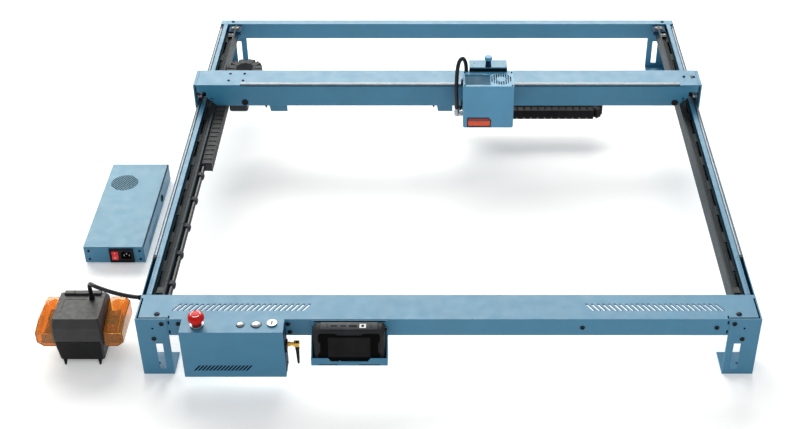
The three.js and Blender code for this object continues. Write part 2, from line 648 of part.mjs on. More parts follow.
function psuCover() {
  const { w, d, h } = PSU;
  const skin = 1.5;
  const shell = cut(block(0, w, 0, d, 3.3, h), block(skin, w - skin, -1, d - skin, 0, h - skin));
  const slits = [];
  for (let i = -6; i <= 6; i += 1) {
    const slit = block(-40, 40, i * 4.4 - 1.25, i * 4.4 + 1.25, h - 4, h + 1);
    slits.push(slit.rotateZ(-Math.PI / 4).translate(VENT.x, VENT.y, 0));
  }
  const round = rod('z', VENT.r, h - 4, h + 1, VENT.x, VENT.y, 28);
  const sideSlots = slantedSlots({
    axis: 'x', from: 46, pitch: 10, count: 10, width: 4, rise: 6, low: 9, high: 20,
    near: w - 3, far: w + 1,
  });
  const outlet = rod('x', 6.3, w - 4, w + 1, 206, 22, 16);
  return cut(shell, common(join(...slits), round), ...sideSlots, outlet);
}

function addPowerSupply(group) {
  const supply = new THREE.Group();
  supply.position.set(PSU.x, PSU.y, 0);
  group.add(supply);
  const { w, d, h } = PSU;
  const inset = 1.5 + GAP;
  place(supply, 'psu_cover', psuCover(), bluePaint);
  const feet = [];
  for (const x of [14, w - 14]) for (const y of [16, d - 16]) feet.push(rod('z', 6, 0, 4, x, y, 12));
  const base = join(
    block(inset, w - inset, 0, d - inset, 3, 5), block(inset, w - inset, 0, THIN, 3, h - inset),
    rod('z', 4, 4, 23, VENT.x, VENT.y, 12), block(20, 105, 40, 140, 4, 30), ...feet,
  );
  const { x0, x1, z0, z1 } = INLET;
  place(supply, 'psu_base', cut(base, block(x0 + 2, x1 - 2, -1, THIN + 1, z0 + 2, z1 - 2)), bluePaint);

  const inlet = join(
    block(x0, x1, -2, -GAP, z0, z1),
    block(x0 + 2 + GAP, x1 - 2 - GAP, -1, 20, z0 + 2 + GAP, z1 - 2 - GAP),
  );
  const socket = prism('y', [[77, 13], [98, 13], [98, 27], [93.5, 32], [81.5, 32], [77, 27]], -3, 15);
  const rockerWell = block(56.4, 71.4, -3, 12, 10, 34.4);
  place(supply, 'psu_inlet', cut(inlet, socket, rockerWell), blackPlastic);
  const rocker = prism('x', [[3, 12.2], [3, 32.4], [-2.5, 32.4], [-1.6, 22.2], [-4.8, 12.2]], 56.9, 70.9);
  place(supply, 'rocker_switch', rocker, red);
  place(supply, 'psu_fan', fanRotor(VENT.x, VENT.y, 24, 27, 13, 10, 7), blackPlastic);
}

// ---------------------------------------------------------------- air pump
const COVER = { reach: 36, y0: -40, y1: 48, z0: 38, z1: 88, frontZ: 71 };

function pumpBody() {
  const { w, front, rear, h } = PUMP;
  const section = [
    [front + 7, 10], [rear - 7, 10], [rear, 20], [rear, h - 12], [rear - 10, h - 0.5], [front + 9, h],
    [front + 3, 90], [front, 66], [front + 1, 60],
  ];
  const body = prism('x', section, -w / 2, w / 2);
  const plan = prism('y', [
    [-w / 2 + 4, 9], [w / 2 - 4, 9], [w / 2, 52], [w / 2, h - 12],
    [w / 2 - 3, h + 1], [-w / 2 + 3, h + 1], [-w / 2, h - 12], [-w / 2, 52],
  ], front - 1, rear + 1);
  const feet = [];
  for (const x of [-33, 33]) {
    feet.push(prism('x', [[-50, 0], [-46, 0], [-36, 13], [-45, 13]], x - 3.4, x + 3.4));
    feet.push(prism('x', [[38, 0], [42, 0], [38, 13], [29, 13]], x - 3.4, x + 3.4));
  }
  const ridge = block(-34, 34, rear - 20, rear - 10, h - 4, h + 3.5);
  const barb = rod('z', 4, h - 2, 115, 20, 16, 12);
  return join(common(body, plan), ridge, barb, ...feet);
}

function pumpCover(side) {
  const { reach, y0, y1, z0, z1, frontZ } = COVER;
  const near = PUMP.w / 2 + GAP;
  const far = near + reach;
  const shape = (open, skin) => {
    const outline = [
      [open, z0 + skin], [far - 12, z0 + skin], [far - skin, z0 + 10],
      [far - skin, z1 - 10], [far - 8, z1 - skin], [open, z1 - skin],
    ];
    const profile = [
      [y0 + skin, z0], [y1 - skin, z0], [y1 - skin, z1 - skin], [y1 - 12, z1 - skin],
      [y0 + skin, frontZ - skin],
    ];
    const reaches = [side * (near - 2), side * (far + 1)].sort((a, b) => a - b);
    return common(prism('y', sided(side, outline), y0, y1), prism('x', profile, ...reaches));
  };
  return cut(shape(near, 0), shape(near - 1, 2.5));
}

function addPump(group) {
  const pump = new THREE.Group();
  pump.position.set(PUMP.x, PUMP.y, 0);
  group.add(pump);
  place(pump, 'pump_body', pumpBody(), blackPlastic);
  place(pump, 'pump_left_cover', pumpCover(-1), amber);
  place(pump, 'pump_right_cover', pumpCover(1), amber);
}

// Free air hose from the pump's barb to the port in the left side beam.
const HOSE_BENDS = [
  [[-676, -494, 115.3], [-676, -494, 139], [-675, -504, 158], [-661, -518, 161]],
  [[-661, -518, 161], [-640, -538, 167], [-611, -509, 126], [-576, -509, 124]],
];

// ---------------------------------------------------------------- the whole object
const machine = new THREE.Group();
machine.position.set(MACHINE.x, MACHINE.y, 0);
addFrame(machine);
const conduit = block(-533, -523, FRONT + FRONT_FLANGE + GAP, -62, 112, 124);
place(machine, 'cable_conduit', conduit, blackRubber);
const yChain = dragChain(CHAIN_Y, CHAIN_Y.turnY + 60, CHAIN_Y.turnY - 243, 0);
place(machine, 'y_chain', yChain, blackPlastic);
addGantry(machine);
const xChain = dragChain(CHAIN_X, CHAIN_X.turnX - 18, CHAIN_X.turnX - 50, -Math.PI / 2);
place(machine, 'x_chain', xChain, blackPlastic);
addCarriage(machine);
addLaser(machine);
addControls(machine);
addScreen(machine);
addPowerSupply(machine);
addPump(machine);
place(machine, 'air_hose', hose(routeOfBends(HOSE_BENDS), 4, 36, 10), blackRubber);

const laserCutter = new THREE.Group();
laserCutter.add(machine);

export default laserCutter;
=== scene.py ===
"""Looks for a large-format desktop laser cutter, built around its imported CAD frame.

Lengths in this script are millimetres in the machine's own frame: x to the operator's right from
the middle of the frame, y away from the operator, z up from the table. at() turns a point into
metres in the shared frame.
"""
import json
import math

import bmesh
import bpy
from mathutils import Matrix, Vector


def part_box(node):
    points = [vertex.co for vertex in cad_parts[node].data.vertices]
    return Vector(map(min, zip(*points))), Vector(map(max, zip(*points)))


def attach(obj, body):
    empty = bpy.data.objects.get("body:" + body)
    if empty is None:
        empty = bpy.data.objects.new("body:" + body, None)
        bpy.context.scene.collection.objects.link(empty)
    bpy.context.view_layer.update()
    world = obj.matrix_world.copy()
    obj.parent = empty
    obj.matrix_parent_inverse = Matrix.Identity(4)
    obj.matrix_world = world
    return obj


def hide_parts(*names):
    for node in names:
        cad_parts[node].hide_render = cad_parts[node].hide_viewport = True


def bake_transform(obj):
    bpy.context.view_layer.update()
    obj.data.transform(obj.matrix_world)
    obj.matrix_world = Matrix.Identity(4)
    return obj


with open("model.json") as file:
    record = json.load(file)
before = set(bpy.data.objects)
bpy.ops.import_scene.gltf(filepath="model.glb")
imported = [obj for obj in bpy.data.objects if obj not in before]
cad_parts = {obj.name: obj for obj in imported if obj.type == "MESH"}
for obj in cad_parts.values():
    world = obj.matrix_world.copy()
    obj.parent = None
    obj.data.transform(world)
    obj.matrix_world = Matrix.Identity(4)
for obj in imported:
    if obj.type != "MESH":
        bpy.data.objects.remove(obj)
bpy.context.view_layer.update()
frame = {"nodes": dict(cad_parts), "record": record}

# ------------------------ places, from the frame
MM = 0.001
FRONT = -585.0                      # front face of the frame
TOP = 135.0                         # top of the frame
GANTRY_TOP = 185.0
GANTRY_FRONT = 174.0
FRONT_FLANGE = 71.0
SHAFT_START = -393.0
SIDES = ((-1, "left"), (1, "right"))

front_low, front_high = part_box("front_beam")
ORIGIN = Vector(((front_low.x + front_high.x) / 2, front_low.y - FRONT * MM, 0.0))


def at(x, y, z):
    """A point of the machine, in millimetres, as metres in the shared frame."""
    return ORIGIN + Vector((x, y, z)) * MM


# ------------------------ camera
CAMERA_AT = (-9.0, -2409.3, 1697.8)
CAMERA_DOWN = 36.0                  # degrees below the horizontal
LENS = 58.95
SHIFT = -0.0551


def add_camera():
    data = bpy.data.cameras.new("camera")
    data.lens = LENS
    data.sensor_width = 36.0
    data.shift_x = SHIFT
    data.clip_end = 50.0
    camera = bpy.data.objects.new("camera", data)
    camera.location = at(*CAMERA_AT)
    camera.rotation_euler = (math.radians(90.0 - CAMERA_DOWN), 0.0, 0.0)
    bpy.context.scene.collection.objects.link(camera)
    bpy.context.scene.camera = camera


add_camera()


# ------------------------ materials
def linear(red, green, blue):
    """A screen colour, 0 to 255, as the linear colour that a shader takes."""
    def one(value):
        value /= 255.0
        return value / 12.92 if value <= 0.04045 else ((value + 0.055) / 1.055) ** 2.4
    return (one(red), one(green), one(blue), 1.0)


def shaded(colour, factor):
    return (colour[0] * factor, colour[1] * factor, colour[2] * factor, 1.0)


class Surface:
    """A material under construction: one Principled shader with named helpers around it."""

    def __init__(self, name, colour, roughness, metallic=0.0):
        self.material = bpy.data.materials.new(name)
        self.material.use_nodes = True
        self.nodes = self.material.node_tree.nodes
        self.links = self.material.node_tree.links
        self.shader = self.nodes["Principled BSDF"]
        self.set("Base Color", colour)
        self.set("Roughness", roughness)
        self.set("Metallic", metallic)
        self.material.diffuse_color = colour
        self.place = self.nodes.new("ShaderNodeTexCoord").outputs["Object"]
        self.colour = colour

    def node(self, kind, values):
        """A new node with its sockets set."""
        node = self.nodes.new(kind)
        for socket, value in values.items():
            node.inputs[socket].default_value = value
        return node

    def noise(self, size, detail=2.0, stretch=(1.0, 1.0, 1.0)):
        """Noise whose grains are about size millimetres across."""
        mapping = self.node("ShaderNodeMapping", {"Scale": stretch})
        texture = self.node("ShaderNodeTexNoise", {"Scale": 1000.0 / size, "Detail": detail})
        self.links.new(self.place, mapping.inputs["Vector"])
        self.links.new(mapping.outputs["Vector"], texture.inputs["Vector"])
        return texture.outputs["Fac"]

    def set(self, socket, value):
        self.shader.inputs[socket].default_value = value

    def colour_from(self, value, low, high):
        """A colour that runs from low to high across the middle of the noise."""
        ramp = self.nodes.new("ShaderNodeValToRGB")
        for element, position, colour in zip(ramp.color_ramp.elements, (0.35, 0.65), (low, high)):
            element.position = position
            element.color = colour
        self.links.new(value, ramp.inputs["Fac"])
        self.links.new(ramp.outputs["Color"], self.shader.inputs["Base Color"])

    def clouds(self, size, detail, darkest, lightest):
        """Uneven colour, from darkest to lightest times the surface's own."""
        low, high = shaded(self.colour, darkest), shaded(self.colour, lightest)
        self.colour_from(self.noise(size, detail), low, high)

    def roughness_from(self, value, low, high):
        spread = self.node("ShaderNodeMapRange", {
            "From Min": 0.3, "From Max": 0.7, "To Min": low, "To Max": high,
        })
        self.links.new(value, spread.inputs["Value"])
        self.links.new(spread.outputs["Result"], self.shader.inputs["Roughness"])

    def bump_from(self, value, height, strength):
        """Relief of about height millimetres."""
        bump = self.node("ShaderNodeBump", {"Strength": strength, "Distance": height * MM})
        self.links.new(value, bump.inputs["Height"])
        self.links.new(bump.outputs["Normal"], self.shader.inputs["Normal"])


def powder_coat(name, colour, roughness=0.5):
    """Blue powder coat: fine orange peel, slight cloudiness."""
    surface = Surface(name, colour, roughness)
    surface.clouds(60.0, 3.0, 0.96, 1.04)
    surface.roughness_from(surface.noise(22.0, 3.0), roughness - 0.05, roughness + 0.07)
    surface.bump_from(surface.noise(0.7, 2.0), 0.05, 0.35)
    surface.set("Coat Weight", 0.35)
    surface.set("Coat Roughness", 0.45)
    return surface.material


def moulded(name, colour, roughness, grain=0.6, height=0.05, specular=0.12):
    """Moulded plastic with a spark-eroded grain."""
    surface = Surface(name, colour, roughness)
    surface.clouds(25.0, 3.0, 0.88, 1.14)
    surface.roughness_from(surface.noise(9.0, 3.0), roughness - 0.06, roughness + 0.08)
    surface.bump_from(surface.noise(grain, 2.0), height, 0.5)
    surface.set("Specular IOR Level", specular)
    return surface.material


def gloss(name, colour, roughness, coat=0.4, specular=0.3):
    """Polished plastic with faint ripples."""
    surface = Surface(name, colour, roughness)
    surface.clouds(18.0, 2.0, 0.93, 1.07)
    surface.roughness_from(surface.noise(6.0, 3.0), roughness - 0.04, roughness + 0.06)
    surface.bump_from(surface.noise(4.0, 1.0), 0.02, 0.25)
    surface.set("Coat Weight", coat)
    surface.set("Coat Roughness", 0.08)
    surface.set("Specular IOR Level", specular)
    return surface.material


def dark_glass(name, colour):
    """Smoked cover glass, anti-glare."""
    surface = Surface(name, colour, 0.35)
    surface.clouds(30.0, 2.0, 0.85, 1.15)
    surface.roughness_from(surface.noise(8.0, 2.0), 0.3, 0.42)
    surface.set("Specular IOR Level", 0.04)
    return surface.material


def metal(name, colour, roughness, brushed=(1.0, 1.0, 1.0)):
    """Bare or plated metal with fine tool marks along one direction."""
    surface = Surface(name, colour, roughness, 1.0)
    marks = surface.noise(0.5, 3.0, brushed)
    surface.clouds(12.0, 2.0, 0.90, 1.05)
    surface.roughness_from(marks, roughness - 0.08, roughness + 0.12)
    surface.bump_from(marks, 0.01, 0.3)
    return surface.material


def rubbery(name, colour, roughness=0.75):
    """Soft black rubber with a dusty grain."""
    surface = Surface(name, colour, roughness)
    surface.clouds(4.0, 4.0, 0.8, 1.3)
    surface.bump_from(surface.noise(0.9, 3.0), 0.06, 0.5)
    surface.set("Sheen Weight", 0.03)
    surface.set("Specular IOR Level", 0.2)
    return surface.material


def tinted(name, colour, roughness, transmission):
    """Clear coloured plastic."""
    surface = Surface(name, colour, roughness)
    surface.clouds(14.0, 2.0, 0.92, 1.06)
    surface.roughness_from(surface.noise(5.0, 3.0), roughness * 0.7, roughness * 1.5)
    surface.bump_from(surface.noise(3.0, 1.0), 0.02, 0.2)
    surface.set("Transmission Weight", transmission)
    surface.set("IOR", 1.5)
    return surface.material


def solder_mask(name):
    """Circuit board: green mask with a faint pattern of tracks."""
    surface = Surface(name, linear(22, 84, 50), 0.35)
    brick = surface.node("ShaderNodeTexBrick", {
        "Scale": 90.0, "Mortar Size": 0.03, "Color1": linear(20, 80, 46),
        "Color2": linear(24, 92, 54), "Mortar": linear(60, 120, 70),
    })
    surface.links.new(surface.place, brick.inputs["Vector"])
    surface.links.new(brick.outputs["Color"], surface.shader.inputs["Base Color"])
    return surface.material


BLUE = powder_coat("blue_paint", linear(42, 116, 150))
BLUE_TOP = powder_coat("blue_paint_supply", linear(46, 120, 150))
BLUE_LIGHT = powder_coat("blue_paint_module", linear(68, 139, 176))
BLUE_DARK = moulded("blue_recess", linear(52, 90, 112), 0.6)
BLUE_BRACKET = moulded("blue_bracket", linear(22, 62, 92), 0.55)
SEAM = moulded("seam_shadow", linear(7, 22, 38), 0.85, specular=0.0)
# Dark blue that paints shade on the knob neck, the box's end plate and the supply's edge fold, and also
# inks the printed scale marks.
SLATE = moulded("blue_shade_and_print_ink", linear(12, 44, 72), 0.6)
BLACK = moulded("black_plastic", linear(26, 27, 29), 0.48)
BLACK_FINE = moulded("black_plastic_fine", linear(19, 20, 22), 0.32, 0.35, 0.02)
CHARCOAL = moulded("charcoal_plastic", linear(52, 54, 57), 0.45)
RUBBER = rubbery("black_rubber", linear(24, 24, 26))
BELT = rubbery("belt_rubber", linear(44, 45, 47), 0.6)
ANODISED = metal("dark_anodised", linear(58, 60, 63), 0.42, (1.0, 0.1, 1.0))
STEEL = metal("ground_steel", linear(178, 182, 186), 0.34, (1.0, 0.05, 1.0))
SCREW = metal("black_oxide_steel", linear(44, 45, 48), 0.34)
ALUMINIUM = metal("machined_aluminium", linear(176, 179, 182), 0.34, (1.0, 1.0, 0.1))
GOLD = metal("gold_plate", linear(226, 178, 82), 0.22)
RED = gloss("red_plastic", linear(196, 14, 10), 0.3, 0.03, 0.15)
DARK_RED = gloss("dark_red_plastic", linear(112, 14, 14), 0.3)
AMBER = tinted("amber_plastic", linear(255, 172, 44), 0.08, 0.82)
AMBER_PANE = tinted("amber_pane", linear(232, 84, 40), 0.08, 0.25)
BOARD = solder_mask("circuit_board")
GLASS_BLACK = dark_glass("black_glass", linear(3, 3, 3))
TRAY = gloss("belt_tray_finish", linear(34, 48, 56), 0.45, 0.0, 0.12)
GREY_STRIP = moulded("belt_bed_finish", linear(44, 45, 46), 0.6, specular=0.05)
BLACK_GLOSS = gloss("black_tube", linear(17, 18, 24), 0.34, 0.1)
CHAIN = moulded("chain_nylon", linear(62, 63, 64), 0.55)
CHAIN_DARK = moulded("chain_nylon_dark", linear(31, 31, 33), 0.5, specular=0.05)
WHITE = moulded("white_ink", linear(235, 236, 236), 0.5)
HOSE = gloss("hose_tube", linear(20, 22, 32), 0.3, 0.1)
DARK_AMBER = gloss("amber_pane_shade", linear(124, 40, 40), 0.2)
RED_AMBER = gloss("amber_inner_parts", linear(206, 92, 16), 0.3)
# Painted highlight for the edges of the clear pump covers.
AMBER_HIGHLIGHT = gloss("amber_edge_highlight", linear(255, 176, 96), 0.25)
BUTTON = metal("domed_button", linear(206, 208, 210), 0.36)
BEZEL = metal("button_bezel", linear(140, 143, 148), 0.42)
SHAFT = metal("guide_shaft_steel", linear(118, 122, 128), 0.46, (1.0, 0.05, 1.0))
DISPLAY = dark_glass("display_glass", linear(30, 30, 31))
PAD_GREY = moulded("pad_plastic", linear(40, 41, 43), 0.5)
PAD_TOP = moulded("pad_top_plastic", linear(72, 74, 78), 0.5)
ROCKER_RED = gloss("rocker_plastic", linear(226, 18, 34), 0.3)
PUMP_BLACK = moulded("pump_plastic", linear(42, 42, 44), 0.5, specular=0.38)
PUMP_BROWN = moulded("pump_inner_plastic", linear(86, 48, 30), 0.5)

FINISHES_IN_SLOT = {
    "blue_paint": (BLUE_LIGHT, BLUE_DARK, BLUE_BRACKET, SLATE),
    "black_plastic": (
        BLACK, BLACK_FINE, CHARCOAL, CHAIN, CHAIN_DARK, PAD_GREY, PAD_TOP, GLASS_BLACK, DISPLAY,
        PUMP_BLACK, PUMP_BROWN,
    ),
    "black_rubber": (RUBBER, BELT, HOSE, BLACK_GLOSS, SEAM),
    "steel": (STEEL, SCREW),
    "bare_aluminium": (ALUMINIUM, BUTTON, BEZEL),
    "dark_anodised": (GREY_STRIP,),
    "red_plastic": (RED, DARK_RED, ROCKER_RED, WHITE),
    "amber_plastic": (RED_AMBER, AMBER_HIGHLIGHT),
    "amber_window": (DARK_AMBER,),
}
SLOT_OF_FINISH = {
    finish.name: slot for slot, finishes in FINISHES_IN_SLOT.items() for finish in finishes
}


# ------------------------ mesh helpers
AXES = {
    "x": Matrix(((0, 0, 1), (1, 0, 0), (0, 1, 0))),
    "y": Matrix(((0, 1, 0), (0, 0, 1), (1, 0, 0))),
    "z": Matrix.Identity(3),
}


def sharp(obj, degrees):
    """Shades curved faces smoothly and leaves flat faces and sharp edges crisp."""
    limit = math.radians(degrees)
    bm = bmesh.new()
    bm.from_mesh(obj.data)
    for face in bm.faces:
        face.smooth = False
    for edge in bm.edges:
        if len(edge.link_faces) != 2:
            continue
        angle = edge.calc_face_angle(0.0)
        edge.smooth = angle < limit
        if 0.01 < angle < limit:
            for face in edge.link_faces:
                face.smooth = True
    bm.to_mesh(obj.data)
    bm.free()


def bevelled(obj, width, segments, degrees):
    """Rounds the edges that turn by more than degrees. width is in millimetres."""
    sharp(obj, degrees)
    if width <= 0:
        return
    bevel = obj.modifiers.new("edges", "BEVEL")
    bevel.width = width * MM
    bevel.segments = segments
    bevel.limit_method = "ANGLE"
    bevel.angle_limit = math.radians(degrees)
    bevel.harden_normals = True
    bevel.use_clamp_overlap = False
    bevel.miter_outer = "MITER_ARC"


def finished(name, mesh, material, body, nodes, bevel, segments, degrees=33.0):
    """Makes the object, gives it its finish and lets it ride on its body."""
    obj = bpy.data.objects.new(name, mesh)
    bpy.context.scene.collection.objects.link(obj)
    mesh.materials.clear()
    mesh.materials.append(material)
    bevelled(obj, bevel, segments, degrees)
    if nodes:
        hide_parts(*nodes)
    if body:
        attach(obj, body)
    return obj


def around(count):
    """Angles of count even steps round a circle."""
    return [2 * math.pi * k / count for k in range(count)]


class Piece:
    """Collects solids into one mesh. Lengths are millimetres from origin, turned by turn."""

    def __init__(self, turn=None, origin=(0.0, 0.0, 0.0)):
        self.bm = bmesh.new()
        self.turn = turn or Matrix.Identity(3)
        self.origin = Vector(origin)

    def rings(self, rings, loop=False):
        """A skin over rings of points, with flat ends or joined end to end in a loop."""
        rings = [
            [self.bm.verts.new(at(*(self.origin + self.turn @ Vector(p)))) for p in ring]
            for ring in rings
        ]
        for near, far in zip(rings, rings[1:] + rings[:loop]):
            for k in range(len(near)):
                n = (k + 1) % len(near)
                self.bm.faces.new((near[k], near[n], far[n], far[k]))
        if not loop:
            self.bm.faces.new(rings[0][::-1])
            self.bm.faces.new(rings[-1])
        return self

    def prism(self, axis, outline, start, end):
        """An outline of (y, z), (x, z) or (x, y) points, extruded along axis."""
        turn = AXES[axis]
        flat = [(v, u) for u, v in outline] if axis == "y" else outline
        return self.rings([[turn @ Vector((u, v, w)) for u, v in flat] for w in (start, end)])

    def block(self, x0, x1, y0, y1, z0, z1):
        return self.prism("z", [(x0, y0), (x1, y0), (x1, y1), (x0, y1)], z0, z1)

    def lathe(self, axis, profile, u, v, sides=32):
        """Turns a profile of (radius, place along the axis). u and v are the axis's middle."""
        turn = AXES[axis]
        if axis == "y":
            u, v = v, u
        return self.rings([
            [
                turn @ Vector((u + radius * math.cos(angle), v + radius * math.sin(angle), w))
                for angle in around(sides)
            ]
            for radius, w in profile
        ])

    def rod(self, axis, radius, start, end, u, v, sides, edge=0.3):
        """A round bar with eased ends."""
        low, high = min(start, end), max(start, end)
        profile = [
            (radius - edge, low), (radius, low + edge), (radius, high - edge), (radius - edge, high),
        ]
        return self.lathe(axis, profile, u, v, sides)

    def tube(self, points, radius, sides):
        """A round tube along points."""
        path = [Vector(p) for p in points]
        rings, side = [], None
        for i, here in enumerate(path):
            ahead = (path[min(i + 1, len(path) - 1)] - path[max(i - 1, 0)]).normalized()
            side = side or ahead.orthogonal()
            side = (side - ahead * side.dot(ahead)).normalized()
            other = ahead.cross(side)
            rings.append([
                here + (side * math.cos(angle) + other * math.sin(angle)) * radius
                for angle in around(sides)
            ])
        return self.rings(rings)

    def object(self, name, material, body="frame", nodes=(), bevel=0.0, slot=None, degrees=33.0):
        """Ends the piece. nodes are the CAD nodes that it stands for."""
        bmesh.ops.recalc_face_normals(self.bm, faces=self.bm.faces)
        mesh = bpy.data.meshes.new(name)
        self.bm.to_mesh(mesh)
        self.bm.free()
        slot = slot or SLOT_OF_FINISH[material.name]
        return finished(name, mesh, material, body, nodes, bevel, 2, degrees)


def cut_corners(x0, x1, y0, y1, corner):
    """A rectangle with its corners cut off."""
    return [
        (x0 + corner, y0), (x1 - corner, y0), (x1, y0 + corner), (x1, y1 - corner),
        (x1 - corner, y1), (x0 + corner, y1), (x0, y1 - corner), (x0, y0 + corner),
    ]


def smooth_path(points, step=2.5):
    """Points every step millimetres on a smooth curve through the given points."""
    path = [Vector(p) for p in points]
    fine = []
    for i in range(len(path) - 1):
        before = path[max(i - 1, 0)]
        after = path[min(i + 2, len(path) - 1)]
        start, end = path[i], path[i + 1]
        count = max(1, round((end - start).length / step))
        for k in range(count):
            t = k / count
            t2, t3 = t * t, t * t * t
            fine.append(0.5 * (
                2 * start + (end - before) * t + (2 * before - 5 * start + 4 * end - after) * t2
                + (3 * start - before - 3 * end + after) * t3
            ))
    fine.append(path[-1])
    return fine


BODY_OF = {
    node: body
    for body, nodes in frame["record"]["behaviour"]["bodies"].items()
    for node in nodes
}


def refine(node, material, width=0.5, segments=2):
    """Stands for a CAD node: the same shape with rounded edges and a finish."""
    mesh = frame["nodes"][node].data.copy()
    bm = bmesh.new()
    bm.from_mesh(mesh)
    bmesh.ops.remove_doubles(bm, verts=bm.verts, dist=1e-6)
    bm.to_mesh(mesh)
    bm.free()
    name = node + "_shell"
    finished(name, mesh, material, BODY_OF[node], [node], width, segments)


# ------------------------ free air hose
HOSE_BENDS = [
    [(-676, -494, 115.3), (-676, -494, 139), (-675, -504, 158), (-661, -518, 161)],
    [(-661, -518, 161), (-640, -538, 167), (-611, -509, 126), (-576, -509, 124)],
]
HOSE_RADIUS = 4.0


def bend_path(bends, count=18):
    """Points along bends. Each bend is a cubic curve: its start, two handles and its end."""
    path = []
    for start, first, second, end in bends:
        for k in range(count):
            t = k / count
            s = 1.0 - t
            weights = (s * s * s, 3 * s * s * t, 3 * s * t * t, t * t * t)
            corners = (start, first, second, end)
            path.append(sum((Vector(p) * w for p, w in zip(corners, weights)), Vector()))
    path.append(Vector(bends[-1][-1]))
    return path


def add_air_hose():
    path = bend_path(HOSE_BENDS)
    hose = Piece().tube(path, HOSE_RADIUS, 24).object("air_hose_tube", HOSE, nodes=["air_hose"])


add_air_hose()

# ------------------------ CAD nodes that keep their shape
for name in [
    "front_beam", "rear_beam", "left_side_beam", "right_side_beam", "front_left_leg",
    "front_right_leg", "rear_left_leg", "rear_right_leg", "controller_housing", "screen_holder",
    "psu_base", "gantry_beam", "gantry_left_end_plate", "gantry_right_end_plate", "carriage_cap",
]:
    refine(name, BLUE)
refine("psu_cover", BLUE_TOP, 0.15, 1)
refine("laser_housing", BLUE_LIGHT, 0.2, 1)
for name, material in {
    "left_guide_shaft": SHAFT, "right_guide_shaft": SHAFT, "x_guide_shaft": STEEL,
    "left_belt_tray": TRAY, "right_belt_tray": TRAY, "control_board": BOARD, "psu_inlet": BLACK,
    "estop_base": ALUMINIUM, "key_lock_barrel": ALUMINIUM, "x_motor": ANODISED,
    "y_motor": ANODISED, "x_belt": BELT, "carriage_plate": BLACK_FINE, "heat_sink": ALUMINIUM,
    "laser_window": AMBER_PANE, "laser_fan": BLACK, "key_lock_core": STEEL,
    "antenna_elbow": GOLD, "psu_fan": BLACK, "y_drive_shaft": STEEL, "x_motor_pulley": ALUMINIUM,
    "x_idler_pulley": ALUMINIUM, "left_y_belt": BELT, "right_y_belt": BELT,
}.items():
    refine(name, material, 0.2, 1)


# ------------------------ small hardware
SEAT_ORDER = {"x": (1, 2, 0), "y": (0, 2, 1), "z": (0, 1, 2)}


def screw(piece, axis, place, sign, radius, height=2.2):
    """A domed socket screw standing sign-ward off a face. place is the middle of its seat."""
    u, v, w = (place[k] for k in SEAT_ORDER[axis])
    piece.lathe(axis, [(radius * share, w + sign * height * rise) for share, rise in (
        (1.0, 0.0), (1.0, 0.35), (0.86, 0.75), (0.6, 1.0), (0.48, 1.0), (0.46, 0.35), (0.05, 0.3),
    )], u, v, 20)


def ring_screws(name, axis, places, sign, radius, body="frame", face=None):
    """A row of dark domed screws, with sockets of another finish when face is given."""
    for i, place in enumerate(places):
        u, v, w = (place[k] for k in SEAT_ORDER[axis])
        head = Piece()
        screw(head, axis, place, sign, radius)
        head.object(f"{name}_{i + 1}", SCREW, body)
        if face:
            Piece().lathe(axis, [
                (radius * 0.42, w + sign * 0.4), (radius * 0.42, w + sign * 1.5),
                (radius * 0.2, w + sign * 1.8), (radius * 0.05, w + sign * 1.2),
            ], u, v, 6).object(f"{name}_{i + 1}_socket", face, body, slot="steel")


def bolt_pair(name, x, y, z, reach, radius, height=2.2):
    """Two bright bolts, reach to either side of x."""
    pair = Piece()
    for side in (-1, 1):
        screw(pair, "z", (x + side * reach, y, z), 1, radius, height)
    pair.object(name, STEEL)


def add_frame_screws():
    ring_screws("front_screw", "y", [(x, FRONT + 0.1, z) for x, z in (
        (525.6, 123.7), (544.1, 87.2), (-527.1, 123.7), (-545.1, 88.2), (493.7, 114.8),
        (-496.0, 124.2), (246.5, 115.0), (-294.4, 124.0), (-292.0, 104.6),
    )], -1, 4.7)
    top = TOP - 0.1
    ring_screws("top_screw", "z", [(534.6, -570.0, top), (-536.4, -570.0, top)], 1, 5.4, face=ANODISED)
    ring_screws("rear_screw", "z", [(-545.0, 577.0, top), (548.0, 577.0, top)], 1, 4.2, face=ANODISED)
    ring_screws("back_screw", "y", [(x, 584.9, z) for x, z in (
        (525.6, 117.0), (544.1, 87.2), (-525.6, 117.0), (-544.1, 87.2),
    )], 1, 4.7)
    # Dark slivers at the front and top seams: painted shade inside the frame's relief cuts.
    notches = Piece()
    for x in (-513.5, 513.5):
        notches.block(x - 1.5, x + 1.5, -583.0, -575.0, TOP - 0.4, TOP + 0.15)
        for z in (127.0, 105.0):
            notches.block(x - 1.5, x + 1.5, FRONT - 0.15, FRONT + 0.4, z - 4.0, z + 4.0)
    notches.object("notch_shade_marks", SEAM, slot="black_plastic")


def add_belt_fixings(side, name):
    """The toothed belt is held at each end by a block, at the rear under a folded bracket."""
    belt, corner = side * 542.0, side * 536.0
    for end, y in (("front", FRONT + 92.0), ("rear", 518.0)):
        Piece().block(belt - 9.0, belt + 9.0, y - 9.0, y + 9.0, 123.2, 129.0).object(
            f"{name}_belt_{end}_clamp", BLACK_FINE, bevel=0.8,
        )
    bolt_pair(name + "_belt_rear_bolts", belt, 518.0, 128.8, 5.0, 3.1)
    bracket = Piece()
    bracket.block(corner - 15.0, corner + 15.0, 531.0, 564.6, 129.2, 131.2)
    bracket.block(corner - 15.0, corner + 15.0, 531.0, 533.0, 121.5, 131.2)
    bracket.object(name + "_corner_bracket", BLUE_BRACKET, bevel=0.3)
    Piece().block(corner - 10.0, corner + 10.0, 539.0, 557.0, 131.0, 133.6).object(
        name + "_bracket_block", BLACK_FINE, bevel=0.5,
    )
    bolt_pair(name + "_bracket_bolts", corner, 548.0, 133.5, 5.4, 3.0, 1.6)


